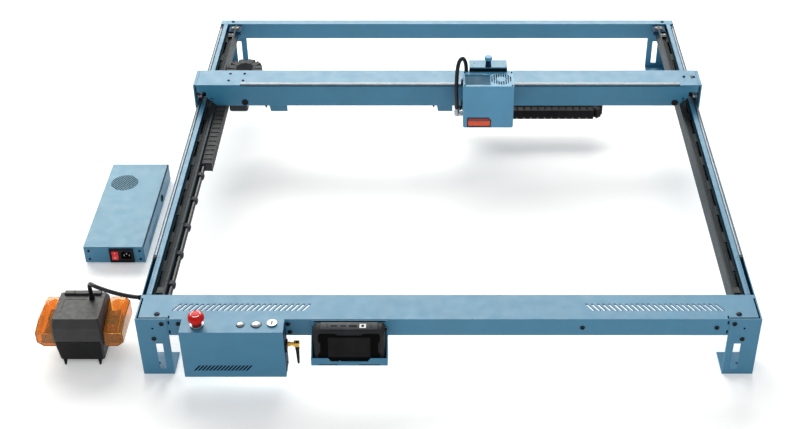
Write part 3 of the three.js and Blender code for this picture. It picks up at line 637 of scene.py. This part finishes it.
def add_side_beam_details(side, name):
    shaft, flange = side * 570.0, FRONT + FRONT_FLANGE
    stop = Piece()
    stop.block(shaft - 3.6, shaft + 3.0, SHAFT_START - 9.0, SHAFT_START - 0.5, 129.0, 136.5)
    stop.rod("y", 2.4, SHAFT_START - 12.0, SHAFT_START - 9.0, shaft, 133.0, 16)
    stop.object(name + "_shaft_stop", BLACK_FINE, bevel=0.3)
    Piece().block(shaft - 3.6, shaft + 3.0, 542.5, 551.0, 129.0, 136.5).object(
        name + "_shaft_rear_stop", BLACK_FINE, bevel=0.3,
    )
    marks = Piece()
    for k in range(24):
        y = FRONT + 74.0 + 5.0 * k
        length = 2.6 if k % 2 else 4.2
        marks.block(side * 564.6, side * (564.6 - length), y, y + 0.9, TOP - 0.05, TOP + 0.1)
    marks.object(name + "_scale_marks", SLATE)
    teeth = Piece()
    y = flange + 14.0
    while y < 526.0:
        teeth.block(side * 542.1 - 4.2, side * 542.1 + 4.2, y, y + 1.6, 122.9, 123.35)
        y += 3.2
    teeth.object(name + "_belt_teeth", BELT)
    Piece().block(side * 537.3, side * 549.8, flange + 4.0, 560.0, 120.9, 121.25).object(
        name + "_belt_bed", GREY_STRIP,
    )


def add_conduit():
    y, path = FRONT + FRONT_FLANGE + 1.0, []
    while y < -62.5:
        path.append((-528.2, y, 118.0))
        y += 2.0
    Piece().tube(path, 5.0, 20).object("conduit_tube", BLACK_GLOSS, nodes=["cable_conduit"])
    for i, y in enumerate((-97.0, -187.5, -281.0, -372.0, -465.0)):
        clip = Piece()
        clip.lathe("y", [
            (5.3, y - 8.0), (6.4, y - 6.0), (7.0, y), (6.4, y + 6.0), (5.3, y + 8.0),
        ], -527.4, 117.6, 24)
        clip.block(-536.0, -526.0, y - 5.5, y + 5.5, 121.5, 126.0)
        clip.block(-537.5, -533.5, y - 5.5, y + 5.5, 118.0, 133.8)
        clip.object(f"conduit_clip_{i + 1}", CHARCOAL, bevel=0.6)


add_frame_screws()
for side, name in SIDES:
    add_side_beam_details(side, name)
    add_belt_fixings(side, name)
add_conduit()


# ------------------------ drag chains
def chain_link(piece, turn, place, width, height, pitch):
    """One link that lies on its side. turn points along the chain, place is the link's middle."""
    piece.turn = Matrix.Rotation(turn, 3, "Z")
    piece.origin = place
    half, p = width / 2, pitch / 2
    for side in (-1, 1):
        piece.block(side * half, side * (half - 2.4), -p * 0.94, p * 0.94, 0.0, height)
        piece.lathe("x", [(3.4, side * half - 0.25), (3.4, side * half + 0.25)], 0.0, height / 2, 16)
    # The lids on top and underneath have a raised arrow-shaped rib.
    for z in (0.3, height - 1.9):
        piece.prism("z", [
            (-half + 2.0, -p * 0.80), (half - 2.0, -p * 0.80), (half - 2.0, p * 0.62),
            (0.0, p * 0.86), (-half + 2.0, p * 0.62),
        ], z, z + 1.6)
    piece.prism("z", [
        (-half + 1.0, -p * 0.1), (0.0, p * 0.36), (half - 1.0, -p * 0.1), (half - 1.0, p * 0.14),
        (0.0, p * 0.6), (-half + 1.0, p * 0.14),
    ], height - 0.5, height)
    piece.block(-half + 2.2, half - 2.2, -p * 1.08, p * 1.08, 2.4, height - 2.6)


FAR = 9e6                           # so far that a blend is half way all along the turn


def add_chain(name, material, turn_at, mean, width, z0, z1, runs, turn, pitch=17.5):
    """Links out, round the turn and back, as three pieces: the fixed run, the turn and the moving run. In
    the real chain each run changes length as the turn goes half way.
    """
    arc = math.pi * mean
    total = runs[0] + arc + runs[1]
    count = int(total // pitch)
    spin = Matrix.Rotation(turn, 3, "Z")

    def spot(across, along):
        return Vector((*turn_at, z0)) + spin @ Vector((across, along, 0.0))

    groups = {"fixed": Piece(), "turn": Piece(), "moving": Piece()}
    for k in range(count):
        along = (k + 0.5) * total / count - runs[0]
        angle = min(max(along / mean, 0.0), math.pi)
        if along < 0.0:
            group, place = "fixed", spot(-mean, along)
        elif along < arc:
            group, place = "turn", spot(-mean * math.cos(angle), mean * math.sin(angle))
        else:
            group, place = "moving", spot(mean, arc - along)
        chain_link(groups[group], turn - angle, place, width, z1 - z0, total / count)
    for group, reach in (("fixed", runs[0]), ("turn", FAR), ("moving", -runs[1])):
        made = groups[group].object(
            f"{name}_{group}", material, None, [name] if group == "fixed" else [], bevel=0.25,
        )
        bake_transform(made)


add_chain(
    "y_chain", CHAIN, (-489.5, 357.5), 30.75, 21.5, 106.0, 127.0, (417.5, 114.5), 0.0,
)
add_chain(
    "x_chain", CHAIN_DARK, (341.0, 271.0), 20.0, 18.0, 52.0, 75.6, (323.0, 291.0), -math.pi / 2,
    16.5,
)


# ------------------------ gantry
ROLLERS = {"front": 197.0, "rear": 222.0}
ROLLER_Z = 143.3


def add_gantry_details():
    ring_screws("motor_screw", "z", [
        (x, y, GANTRY_TOP - 0.6) for y in (195, 226) for x in (-501, -468)
    ], 1, 3.3, "gantry")
    ring_screws("idler_screw", "z", [
        (543.7, 212.0, GANTRY_TOP - 0.1), (566.0, 211.0, GANTRY_TOP - 0.1),
    ], 1, 3.8, "gantry")
    Piece().block(559.0, 562.5, 203.0, 219.0, GANTRY_TOP - 0.3, GANTRY_TOP + 0.12).object(
        "belt_tension_slot", BLACK_FINE, "gantry",
    )
    for i, (x, z) in enumerate(((-465.0, 139.8), (522.0, 138.5))):
        Piece().lathe("y", [(radius, GANTRY_FRONT - depth) for radius, depth in (
            (7.6, 0.2), (7.7, 1.0), (7.0, 1.7), (3.4, 1.9), (2.8, 0.9), (0.4, 0.9),
        )], x, z, 28).object(f"gantry_bumper_{i + 1}", RUBBER, "gantry")
    ring_screws("end_screw", "y", [
        (x, GANTRY_FRONT + 0.2, z) for x in (-541, 541) for z in (149, 141)
    ], -1, 2.6, "gantry", STEEL)
    for side, name in SIDES:
        cover = Piece()
        cover.block(side * 552.0, side * 563.5, 188.0, 231.0, 149.0, 164.0)
        cover.block(side * 552.0, side * 563.5, 190.0, 229.0, 146.0, 149.5)
        cover.object(name + "_roller_carrier", BLACK_FINE, "gantry", bevel=0.3)
        for y in ROLLERS.values():
            Piece().lathe("x", [
                (4.6, side * 580.0), (4.6, side * 581.6), (3.6, side * 582.2), (1.0, side * 582.2),
            ], y, ROLLER_Z, 20).object(f"{name}_axle_cap_{int(y)}", STEEL, "gantry")
    for i, (x, z) in enumerate(((-425, 76), (-30, 76), (52, 54))):
        stub = Piece()
        stub.block(x - 3.0, x - 0.2, 236.0, 241.5, z + 12.0, z + 24.0)
        stub.block(x - 5.0, x - 2.8, 237.0, 240.5, z + 14.0, z + 22.0)
        stub.object(f"cable_tab_end_{i + 1}", BLACK_FINE, "gantry", bevel=0.4)


def add_rollers():
    """Each roller is a pair of ball bearings with rounded rims on one axle."""
    for end, y in ROLLERS.items():
        for side, hand in SIDES:
            piece = Piece()
            for near, far in ((566.2, 570.8), (571.6, 576.2)):
                piece.lathe("x", [
                    (5.4, side * near), (6.6, side * near), (7.0, side * (near + 0.5)),
                    (7.0, side * (far - 0.5)), (6.6, side * far), (5.4, side * far),
                ], y, ROLLER_Z, 28)
                piece.lathe("x", [
                    (2.6, side * (near + 0.2)), (4.2, side * (near + 0.2)), (5.6, side * (near + 0.7)),
                    (5.6, side * (far - 0.7)), (4.2, side * (far - 0.2)), (2.6, side * (far - 0.2)),
                ], y, ROLLER_Z, 28)
            piece.object(f"{end}_{hand}_bearings", STEEL, f"{end}_{hand}_roller", [f"{end}_{hand}_roller"])


add_gantry_details()
add_rollers()


# ------------------------ carriage and laser module
LASER = (34.7, 93.0, 122.0)         # the module's front left bottom corner
LASER_W, LASER_H = 112.6, 107.0
KNOB = (91.5, 165.6)


def add_carriage_details():
    for i, x in enumerate((59.0, 124.0)):
        head = Piece()
        screw(head, "z", (x, 182.0, 238.9), 1, 2.4, 1.2)
        head.object(f"cap_screw_{i + 1}", STEEL, "carriage")
    wheels = Piece()
    for x in (62.0, 121.0):
        for z in (196.0, 156.0):
            wheels.rod("y", 6.5, 171.8, 173.6, x, z, 24)
    wheels.object("carriage_rollers", BLACK_FINE, "carriage")
    # The neck's dark blue is painted shade under the grip.
    Piece().lathe("z", [
        (3.0, 152.0), (3.0, 239.2), (6.9, 239.4), (7.0, 241.5), (6.2, 243.0), (5.9, 253.5),
        (6.4, 255.0), (8.0, 256.2),
    ], *KNOB, 32).object("knob_neck", SLATE, "height_knob", ["height_knob"])
    rings = []
    for radius, z, groove in (
        (8.0, 256.0, 0.0), (8.5, 257.0, 0.45), (8.5, 262.4, 0.45), (7.7, 263.8, 0.0), (1.0, 264.0, 0.0),
    ):
        ring = []
        for n, angle in enumerate(around(64)):
            reach = radius - groove * (n % 2)
            ring.append((reach * math.cos(angle), reach * math.sin(angle), z))
        rings.append(ring)
    Piece(origin=(*KNOB, 0.0)).rings(rings).object("knob_grip", BLUE_LIGHT, "height_knob")


def laser_piece():
    return Piece(origin=LASER)


def add_laser_details():
    panel = laser_piece()
    panel.block(5.0, 60.0, 7.5, 52.5, LASER_H - 2.1, LASER_H - 1.7)
    panel.block(5.0, 60.0, 7.5, 16.0, LASER_H - 1.8, LASER_H - 1.2)
    panel.object("module_panel", BLUE_DARK, "laser", bevel=0.3)
    # Dark disc between the fan and the sheet: painted shade seen through the grille.
    laser_piece().lathe("z", [(24.0, 101.0), (24.0, 102.0)], 85.0, 32.5, 32).object(
        "module_fan_shade_disc", BLACK_FINE, "laser",
    )
    laser_piece().block(44.0, 59.0, 50.0, 53.5, LASER_H - 1.8, LASER_H + 0.2).object(
        "module_panel_rib", BLUE_LIGHT, "laser", bevel=0.3,
    )
    x, y, z = LASER
    ring_screws("module_screw", "z", [
        (x + dx, y + dy, z + LASER_H - 0.3)
        for dx, dy in ((3.6, 3.6), (LASER_W - 3.6, 3.6), (LASER_W - 3.6, 61.4), (3.6, 61.4))
    ], 1, 1.9, "laser", ALUMINIUM)
    # Sheet edge round the window, then painted shade on the upper half where the pane slopes in.
    rim = [(9.2, 2.0), (62.8, 2.0), (62.8, 20.6), (57.2, 26.4), (9.2, 26.4)]
    hole = [(11.0, 3.8), (61.0, 3.8), (61.0, 19.9), (56.4, 24.6), (11.0, 24.6)]
    laser_piece().rings([
        [(u, depth, v) for (u, v), depth in (
            (outer, -0.7), (inner, -0.7), (inner, 1.2), (outer, 1.2),
        )]
        for outer, inner in zip(rim, hole)
    ], loop=True).object("window_border", BLACK_FINE, "laser", bevel=0.2)
    laser_piece().prism("y", [
        (11.0, 17.2), (61.0, 17.2), (61.0, 19.9), (56.4, 24.6), (11.0, 24.6),
    ], -0.35, 0.4).object("window_shade", DARK_AMBER, "laser", bevel=0.2)
    # Hose, and the elbow at the nozzle.
    laser_piece().tube(smooth_path([
        (7.8, 71.6, 44), (7.8, 71.6, 70), (7.6, 71.5, 100), (6.5, 70.5, 122), (2.5, 67, 137),
        (-3.5, 61, 142.5), (-9.5, 54, 136), (-13, 47.5, 118), (-14.5, 41.5, 92), (-14.6, 37, 66),
        (-14, 34.2, 44), (-13.5, 33.2, 30),
    ]), 4.5, 20).object("module_hose_tube", HOSE, "laser", ["module_hose"])
    elbow = laser_piece()
    elbow.lathe("z", [
        (4.4, 12.0), (6.0, 13.0), (6.2, 24.0), (5.2, 25.0), (5.2, 30.0), (4.0, 30.5),
    ], -13.5, 33.2, 24)
    elbow.rod("x", 5.0, -14.0, -0.4, 33.2, 17.0, 24)
    elbow.rod("x", 6.0, -5.0, -1.8, 33.2, 17.0, 6)
    elbow.object("nozzle_elbow", ALUMINIUM, "laser")
    plugs = laser_piece()
    plugs.block(-4.6, -0.2, 40.0, 52.0, 84.0, 95.0)
    plugs.block(-3.2, -0.2, 42.0, 50.0, 95.0, 99.0)
    plugs.block(-4.0, -0.2, 46.0, 56.0, 28.0, 40.0)
    plugs.object("module_plugs", BLACK_FINE, "laser", bevel=0.3)


add_carriage_details()
add_laser_details()


# ------------------------ control box
BOX_RIGHT = -299.5
BOX_FRONT, BOX_REAR = -625.0, -585.3
BOX_LOW, BOX_TOP = 29.5, 137.5
ESTOP = (-457.0, -605.0)
AERIAL = (-278.0, -605.0)


def add_controller_details():
    Piece().lathe("z", [
        (9.0, 130.0), (9.0, 146.0), (10.2, 148.6), (13.4, 151.0), (14.7, 153.0), (15.0, 156.0),
        (14.9, 159.0), (14.0, 161.8), (12.0, 163.9), (9.0, 165.2), (4.0, 165.8), (0.5, 165.8),
    ], *ESTOP, 48).object("estop_mushroom", RED, "estop", ["estop_head"])
    Piece().lathe("z", [(9.05, 142.2), (9.15, 143.0), (9.15, 147.0), (9.05, 148.4)], *ESTOP, 40).object(
        "estop_neck", DARK_RED, "estop",
    )
    marks = Piece(origin=(*ESTOP, 0.0))
    steps = 12
    for n in range(3):
        rings = []
        for k in range(steps + 1):
            angle = 2 * math.pi / 3 * (n + 0.72 * k / steps)
            rings.append([
                (radius * math.cos(angle), radius * math.sin(angle), z)
                for radius, z in ((8.0, 165.15), (9.2, 165.0), (9.2, 165.5), (8.0, 165.65))
            ])
        marks.rings(rings)
    marks.object("estop_turn_marks", WHITE, "estop")
    for name, body, x, y, radius, bezel in (
        ("start", "start_button", -378.7, -603.0, 4.5, 7.0),
        ("pause", "pause_button", -349.8, -602.5, 6.5, 9.0),
    ):
        Piece().lathe("z", [
            (radius, 124.0), (radius, 140.0), (radius * 0.9, 140.7), (radius * 0.6, 141.2),
            (radius * 0.05, 141.3),
        ], x, y, 32).object(name + "_cap", BUTTON, body, [body])
        Piece().lathe("z", [
            (radius + 0.5, 137.6), (bezel, 137.6), (bezel, 138.8), (bezel - 0.9, 139.9),
            (radius + 0.6, 139.5),
        ], x, y, 36).object(name + "_bezel", BEZEL)
        Piece().lathe("z", [
            (bezel, 137.45), (bezel + 0.9, 137.45), (bezel + 0.9, 137.75), (bezel, 137.75),
        ], x, y, 36).object(name + "_gasket", RUBBER)
    Piece().block(-322.4, -319.6, -604.6, -595.4, 140.4, 141.4).object("keyway_shadow", BLACK_FINE, "key")
    # Right end plate, in dark blue as painted shade, with the aerial socket's black block and two fixing
    # screws.
    plate = Piece()
    plate.block(
        BOX_RIGHT - 0.2, BOX_RIGHT + 1.0, BOX_FRONT + 4.0, BOX_REAR - 4.0, BOX_LOW + 8.0, BOX_TOP - 6.0,
    )
    plate.object("aerial_plate", SLATE, bevel=0.4)
    Piece().block(BOX_RIGHT + 0.6, BOX_RIGHT + 4.5, -618.0, -600.0, 84.0, 102.0).object(
        "aerial_block", BLACK_FINE, bevel=0.3,
    )
    ring_screws("aerial_screw", "x", [(BOX_RIGHT + 0.9, -605.0, z) for z in (118.0, 48.0)], 1, 2.4)
    whip = Piece()
    whip.lathe("z", [
        (1.0, 45.8), (1.9, 46.2), (2.4, 50.0), (3.4, 76.0), (4.1, 84.0), (4.1, 87.5), (3.2, 88.5),
    ], *AERIAL, 24)
    whip.block(-280.2, -275.8, -607.2, -602.8, 86.0, 96.0)
    whip.object("aerial_whip", BLACK, "antenna_whip", ["antenna_whip"], bevel=0.2)


def add_shade_fillers():
    """Painted shade: dark pieces standing in for the shade seen in the vents, seams, grooves and holes,
    and behind the screen pad.
    """
    # Dark sheet behind the box's front vents: painted shade seen through them.
    Piece().block(-474.0, -355.0, BOX_FRONT + 2.3, BOX_FRONT + 3.0, 42.0, 61.0).object(
        "vent_shade_sheet", BLACK_FINE,
    )
    # Near-black strips in the front and flank seams and along the groove floor: painted shade in the gaps.
    seams = Piece()
    for side in (-1, 1):
        front = FRONT + 2.7
        seams.block(side * 516.7, side * 571.8, front, FRONT + 5.3, TOP - 8.0, TOP + 0.1)
        seams.block(side * 569.2, side * 572.2, front, FRONT + 60.4, TOP - 8.0, TOP + 0.1)
        seams.block(
            side * 566.5, side * 573.3, FRONT + FRONT_FLANGE + 0.4, SHAFT_START - 12.5, 129.65, 131.5,
        )
    seams.object("seam_shade_strips", SEAM)
    # Dark discs in the leg holes, at the front and in the feet: painted shade inside the holes.
    plugs = Piece()
    for x in (-545.0, 545.0):
        plugs.lathe("y", [(1.9, FRONT + 1.8), (1.9, FRONT + 0.2), (0.6, FRONT + 0.6)], x, 112.8, 16)
    for x in (-549.5, 549.5):
        plugs.lathe("z", [(1.9, 0.2), (1.9, 1.2), (0.6, 1.0)], x, -558.0, 16)
    plugs.object("hole_shade_discs", SEAM)
    # Black panel on the beam behind the screen pad: painted shade in the gap behind it.
    Piece().block(-247.0, -115.0, -588.8, -587.9, 121.0, 134.3).object("pad_shade_panel", BLACK_FINE, bevel=0.2)


add_controller_details()
add_shade_fillers()


# ------------------------ screen pad, tilted back
PAD_TILT = Matrix.Rotation(math.radians(-15.0), 3, "X")
PAD_AT = (-181.0, -588.0, 137.0)
PAD_W, PAD_H, PAD_T = 132.0, 75.0, 24.0


def pad_piece():
    return Piece(PAD_TILT, PAD_AT)


def slope_piece():
    """Sits on the pad's sloped top edge: y runs down the slope, z stands off it."""
    turn = PAD_TILT @ Matrix.Rotation(math.radians(25.46), 3, "X")
    return Piece(turn, Vector(PAD_AT) + PAD_TILT @ Vector((0.0, -9.0, -3.5)))


def add_screen_pad():
    half = PAD_W / 2
    pad_piece().rings([
        [
            (u, depth, v)
            for u, v in cut_corners(inset - half, half - inset, inset - PAD_H, -inset - drop, 6.0)
        ]
        for depth, inset, drop in (
            (-0.1, 1.2, 4.5), (-2.0, 0.2, 4.5), (-9.0, 0.2, 4.5), (-18.5, 0.2, 9.0),
            (-PAD_T + 1.4, 3.0, 9.5),
        )
    ]).object("pad_body", PAD_GREY, "screen_pad", ["screen_pad"], bevel=0.6)
    # Raised block along the top with the ports in it.
    pad_piece().rings([
        [(-reach, depth, -12.0), (reach, depth, -12.0), (reach, depth, rise), (-reach, depth, rise)]
        for depth, rise, reach in (
            (-2.5, -4.0, 51.6), (-3.0, -3.5, 52.0), (-9.0, -3.5, 52.0), (-19.5, -8.5, 52.0),
            (-20.0, -9.2, 51.6),
        )
    ]).object("pad_top_block", PAD_TOP, "screen_pad", bevel=0.3)
    seam = slope_piece()
    for u in (-half + 26.0, half - 26.0):
        seam.block(u - 0.5, u + 0.5, -11.0, -0.2, -1.0, 0.06)
    seam.object("pad_seams", BLACK_FINE, "screen_pad")
    ports = slope_piece()
    ports.block(-33.0, -21.5, -7.0, -4.0, -1.0, 0.08)
    ports.block(-15.0, -5.5, -7.0, -4.0, -1.0, 0.08)
    ports.prism("z", [
        (1.0, -8.2), (13.5, -8.2), (15.0, -5.9), (13.5, -3.6), (1.0, -3.6), (-0.5, -5.9),
    ], -1.0, 0.08)
    ports.object("pad_ports", BLACK_FINE, "screen_pad")
    slope_piece().block(2.5, 12.0, -6.4, -5.4, -0.5, 0.25).object(
        "pad_port_tongue", CHARCOAL, "screen_pad",
    )
    slope_piece().block(19.0, 31.0, -10.4, -0.9, -1.0, 0.4).object(
        "pad_jack_plate", WHITE, "screen_pad", bevel=0.2, slot="black_plastic",
    )
    slope_piece().rod("z", 2.8, 0.2, 0.6, 25.0, -5.7, 24, 0.1).object(
        "pad_jack_hole", BLACK_FINE, "screen_pad",
    )
    # Glass with a stepped outline, and the display.
    right = [
        (22, -21.5), (26, -18.5), (half - 12, -18.5), (half - 10, -21.5), (half - 10, -33),
        (half - 13.5, -36), (half - 13.5, -55), (half - 10, -58.5), (half - 10, 5 - PAD_H),
    ]
    left = [(-u, v) for u, v in reversed(right)]
    pad_piece().prism("y", right + left, -PAD_T - 0.6, -PAD_T + 1.6).object(
        "pad_glass", GLASS_BLACK, "screen_pad", bevel=0.3,
    )
    pad_piece().block(-38.5, 38.5, -PAD_T - 0.9, -PAD_T - 0.4, -63.5, -24.5).object(
        "pad_display", DISPLAY, "screen_pad", bevel=0.1,
    )
    pad_piece().rod("x", 3.0, half - 0.5, half + 3.6, -13.0, -12.0, 20, 0.5).object(
        "pad_side_knob", BLACK_FINE, "screen_pad",
    )
    slots = pad_piece()
    for u0, u1 in ((-56.0, -20.0), (18.0, 56.0)):
        slots.block(u0, u1, -PAD_T - 4.5, -PAD_T - 4.1, -PAD_H - 3.6, -PAD_H - 2.2)
        slots.block(u0, u1, -PAD_T - 0.8, -6.2, -PAD_H - 5.2, -PAD_H - 4.5)
    slots.object("holder_slots", BLACK_FINE, slot="blue_paint")


add_screen_pad()


# ------------------------ power supply
PSU = (-759.0, -247.0, 0.0)


def supply_piece():
    return Piece(origin=PSU)


def add_supply_details():
    x, y, _ = PSU
    ring_screws("supply_screw", "y", [
        (x + dx, y - 0.1, z) for dx in (9.5, 116.0) for z in (33.0, 12.0)
    ], -1, 2.6)
    rim = supply_piece()
    for u0, u1, v0, v1 in (
        (52.6, 55.4, 4.6, 39.4), (100.7, 103.5, 4.6, 39.4), (55.4, 100.7, 4.6, 7.4),
        (55.4, 100.7, 36.6, 39.4),
    ):
        rim.block(u0, u1, -3.2, -1.9, v0, v1)
    rim.object("inlet_rim", BLACK_FINE, bevel=0.5)
    supply_piece().prism("x", [
        (3.0, 12.2), (3.0, 32.4), (-2.4, 32.4), (-2.0, 27.5), (-1.7, 22.3), (-3.1, 17.0), (-4.8, 12.2),
    ], 56.9, 70.9).object("rocker_cap", ROCKER_RED, "rocker", ["rocker_switch"], bevel=0.5)
    supply_piece().block(63.4, 64.4, -2.75, -2.2, 27.0, 30.2).object("rocker_on_mark", WHITE, "rocker")
    rings = []
    for angle in around(16):
        ring = []
        for radius, depth in ((1.5, -3.22), (2.3, -3.22), (2.3, -2.92), (1.5, -2.92)):
            z = 17.2 + radius * math.sin(angle)
            ring.append((63.9 + radius * math.cos(angle), depth - (17.0 - z) * 0.35, z))
        rings.append(ring)
    supply_piece().rings(rings, loop=True).object("rocker_off_mark", WHITE, "rocker")
    pins = supply_piece()
    for u, v in ((82.0, 20.5), (87.5, 24.5), (93.0, 20.5)):
        pins.block(u - 0.9, u + 0.9, 1.0, 15.5, v - 2.2, v + 2.2)
    pins.object("inlet_pins", STEEL, bevel=0.2)
    supply_piece().prism("y", [
        (78.2, 14.2), (96.8, 14.2), (96.8, 26.6), (93.0, 30.8), (82.0, 30.8), (78.2, 26.6),
    ], 14.0, 14.9).object("inlet_socket_floor", BLACK_FINE, bevel=0.2)
    # Dark blue strip along the cover's right edge: painted shade on the fold.
    supply_piece().block(122.8, 125.75, 0.6, 308.4, 40.2, 43.15).object(
        "supply_edge_fold_shade", SLATE, bevel=0.3,
    )
    # Dark sheet behind the round vent and the side slots: painted shade seen through them.
    screen = supply_piece()
    screen.lathe("z", [(31.5, 39.4), (31.5, 40.4)], 40.5, 235.5, 40)
    screen.block(122.6, 123.6, 42.0, 150.0, 7.5, 22.0)
    screen.object("supply_vent_shade", BLACK_FINE)
    supply_piece().lathe("x", [
        (8.4, 125.2), (8.4, 126.6), (6.6, 127.4), (6.2, 124.0), (5.0, 124.0),
    ], 206.0, 22.0, 28).object("outlet_gland", BLACK_FINE, slot="black_rubber")


add_supply_details()


# ------------------------ air pump
PUMP = (-696.0, -510.0, 0.0)


def pump_piece():
    return Piece(origin=PUMP)


def upright(half, front, rear, z):
    """A rectangle at height z that reaches half to either side."""
    return [(-half, front, z), (half, front, z), (half, rear, z), (-half, rear, z)]


def add_pump():
    # Cross-sections from the feet up.
    pump_piece().rings([
        [(u, v, z) for u, v in cut_corners(-half, half, front, rear, 3.0)]
        for z, half, front, rear in (
            (10.0, 42.0, -45.5, 38.5), (20.0, 42.8, -46.8, 45.0), (60.0, 45.9, -52.0, 45.8),
            (66.0, 45.9, -52.9, 45.8), (90.0, 45.9, -50.0, 45.8), (96.0, 45.6, -48.0, 45.8),
            (108.4, 43.0, -44.0, 36.0),
        )
    ]).object("pump_shell", PUMP_BLACK, nodes=["pump_body"], bevel=0.6, degrees=3.0)
    pump_piece().rings([
        upright(half, front, front + 3.0, z)
        for z, half, front in ((10.6, 38.6, -45.9), (20.0, 39.6, -47.3), (60.0, 42.6, -52.4))
    ]).object("pump_lower_front", BLACK_FINE, bevel=0.4)
    outline = pump_piece()
    outline.block(-32.0, 11.0, 14.0, 15.0, 108.2, 108.75)
    outline.block(-32.0, -31.0, -24.0, 14.0, 108.2, 108.75)
    outline.object("pump_panel_line", BLACK_FINE)
    strip = pump_piece()
    strip.rings([upright(36.0, 26.0, 38.0, 104.0), upright(34.5, 27.2, 36.8, 112.5)])
    strip.block(-16.0, -15.0, 26.8, 37.2, 112.2, 112.8)
    strip.object("pump_handle_strip", PUMP_BLACK, bevel=0.6)
    pump_piece().lathe("z", [
        (5.6, 108.0), (5.6, 110.5), (4.6, 111.3), (4.6, 116.5), (4.0, 117.2),
    ], 20.0, 16.0, 24).object("pump_outlet", BLACK_FINE)
    feet = pump_piece()
    for dx in (-33.0, 33.0):
        for tip, root in ((-48.0, -40.5), (40.0, 33.5)):
            feet.rings([
                [(dx + u, v + w, z) for u, w, z in upright(half, -deep, deep, z)]
                for z, v, half, deep in (
                    (0.0, tip, 1.5, 1.6), (6.0, (tip + root) / 2, 2.8, 3.0), (13.0, root, 4.4, 4.6),
                )
            ])
    feet.object("pump_feet", RUBBER, bevel=0.4)
    for side, name in SIDES:
        add_pump_inside(side, name)
    # The hose enters the left side beam through a push-in fitting.
    Piece().lathe("x", [
        (4.2, -583.0), (5.0, -582.4), (5.2, -580.0), (4.9, -579.0), (5.2, -578.4), (5.2, -575.2),
    ], -509.0, 124.0, 24).object("hose_fitting", BLACK_FINE)


def add_pump_inside(side, name):
    """What shows through one of the clear covers, and a painted highlight along the cover's edge."""
    near = side * 46.4
    inner = pump_piece()
    for y0, y1, z0, z1, reach in (
        (-34.0, 40.0, 41.0, 45.0, 30.0), (-26.0, -10.0, 45.0, 62.0, 20.0),
        (4.0, 30.0, 45.0, 68.0, 22.0), (-31.0, -28.0, 45.0, 60.0, 28.0),
    ):
        inner.block(near, near + side * reach, y0, y1, z0, z1)
    inner.object(f"pump_{name}_diaphragm", PUMP_BROWN, bevel=0.3)
    valves = pump_piece()
    for y in (-20.0, 16.0):
        for reach in (6.0, 14.0):
            valves.rod("z", 3.4, 60.0, 72.0, near + side * reach, y, 18, 0.8)
    valves.object(f"pump_{name}_valves", RED_AMBER)
    # Bright strip along the cover's top edge: painted highlight.
    pump_piece().prism("x", [
        (-38.0, 71.2), (35.0, 87.8), (35.0, 86.8), (-38.0, 70.2),
    ], near + side * 27.9, near + side * 26.4).object(f"pump_{name}_cover_edge_highlight", AMBER_HIGHLIGHT)


add_pump()
refine("pump_left_cover", AMBER, 0.8, 2)
refine("pump_right_cover", AMBER, 0.8, 2)


# ------------------------ stage
def add_floor():
    bpy.ops.mesh.primitive_plane_add(size=24.0, location=(0.0, 2.0, 0.0))
    floor = bpy.context.object
    floor.name = "floor"
    surface = Surface("floor_paper", (0.93, 0.93, 0.93, 1.0), 0.75)
    surface.colour_from(surface.noise(900.0), (0.92, 0.92, 0.92, 1.0), (0.94, 0.94, 0.94, 1.0))
    surface.set("Emission Color", (1.0, 1.0, 1.0, 1.0))
    surface.set("Emission Strength", 0.22)
    floor.data.materials.append(surface.material)


def add_light(name, place, target, size, power, colour=(1.0, 1.0, 1.0)):
    data = bpy.data.lights.new(name, "AREA")
    data.shape = "RECTANGLE"
    data.size = size[0]
    data.size_y = size[1]
    data.energy = power
    data.color = colour
    lamp = bpy.data.objects.new(name, data)
    lamp.location = at(*place)
    lamp.rotation_euler = (at(*target) - at(*place)).to_track_quat("-Z", "Y").to_euler()
    bpy.context.scene.collection.objects.link(lamp)


def add_world(strength):
    world = bpy.data.worlds.new("studio")
    world.use_nodes = True
    background = world.node_tree.nodes["Background"]
    background.inputs["Color"].default_value = (1.0, 1.0, 1.0, 1.0)
    background.inputs["Strength"].default_value = strength
    bpy.context.scene.world = world


add_floor()
add_world(0.56)
add_light("back", (-1500, 5200, 4050), (-100, 0, 100), (9.0, 3.6), 715.0, (0.99, 1.0, 0.95))
add_light("fill", (1200, -2600, 3200), (0, 0, 0), (3.0, 2.0), 14.0)
bpy.context.scene.view_settings.view_transform = "Standard"
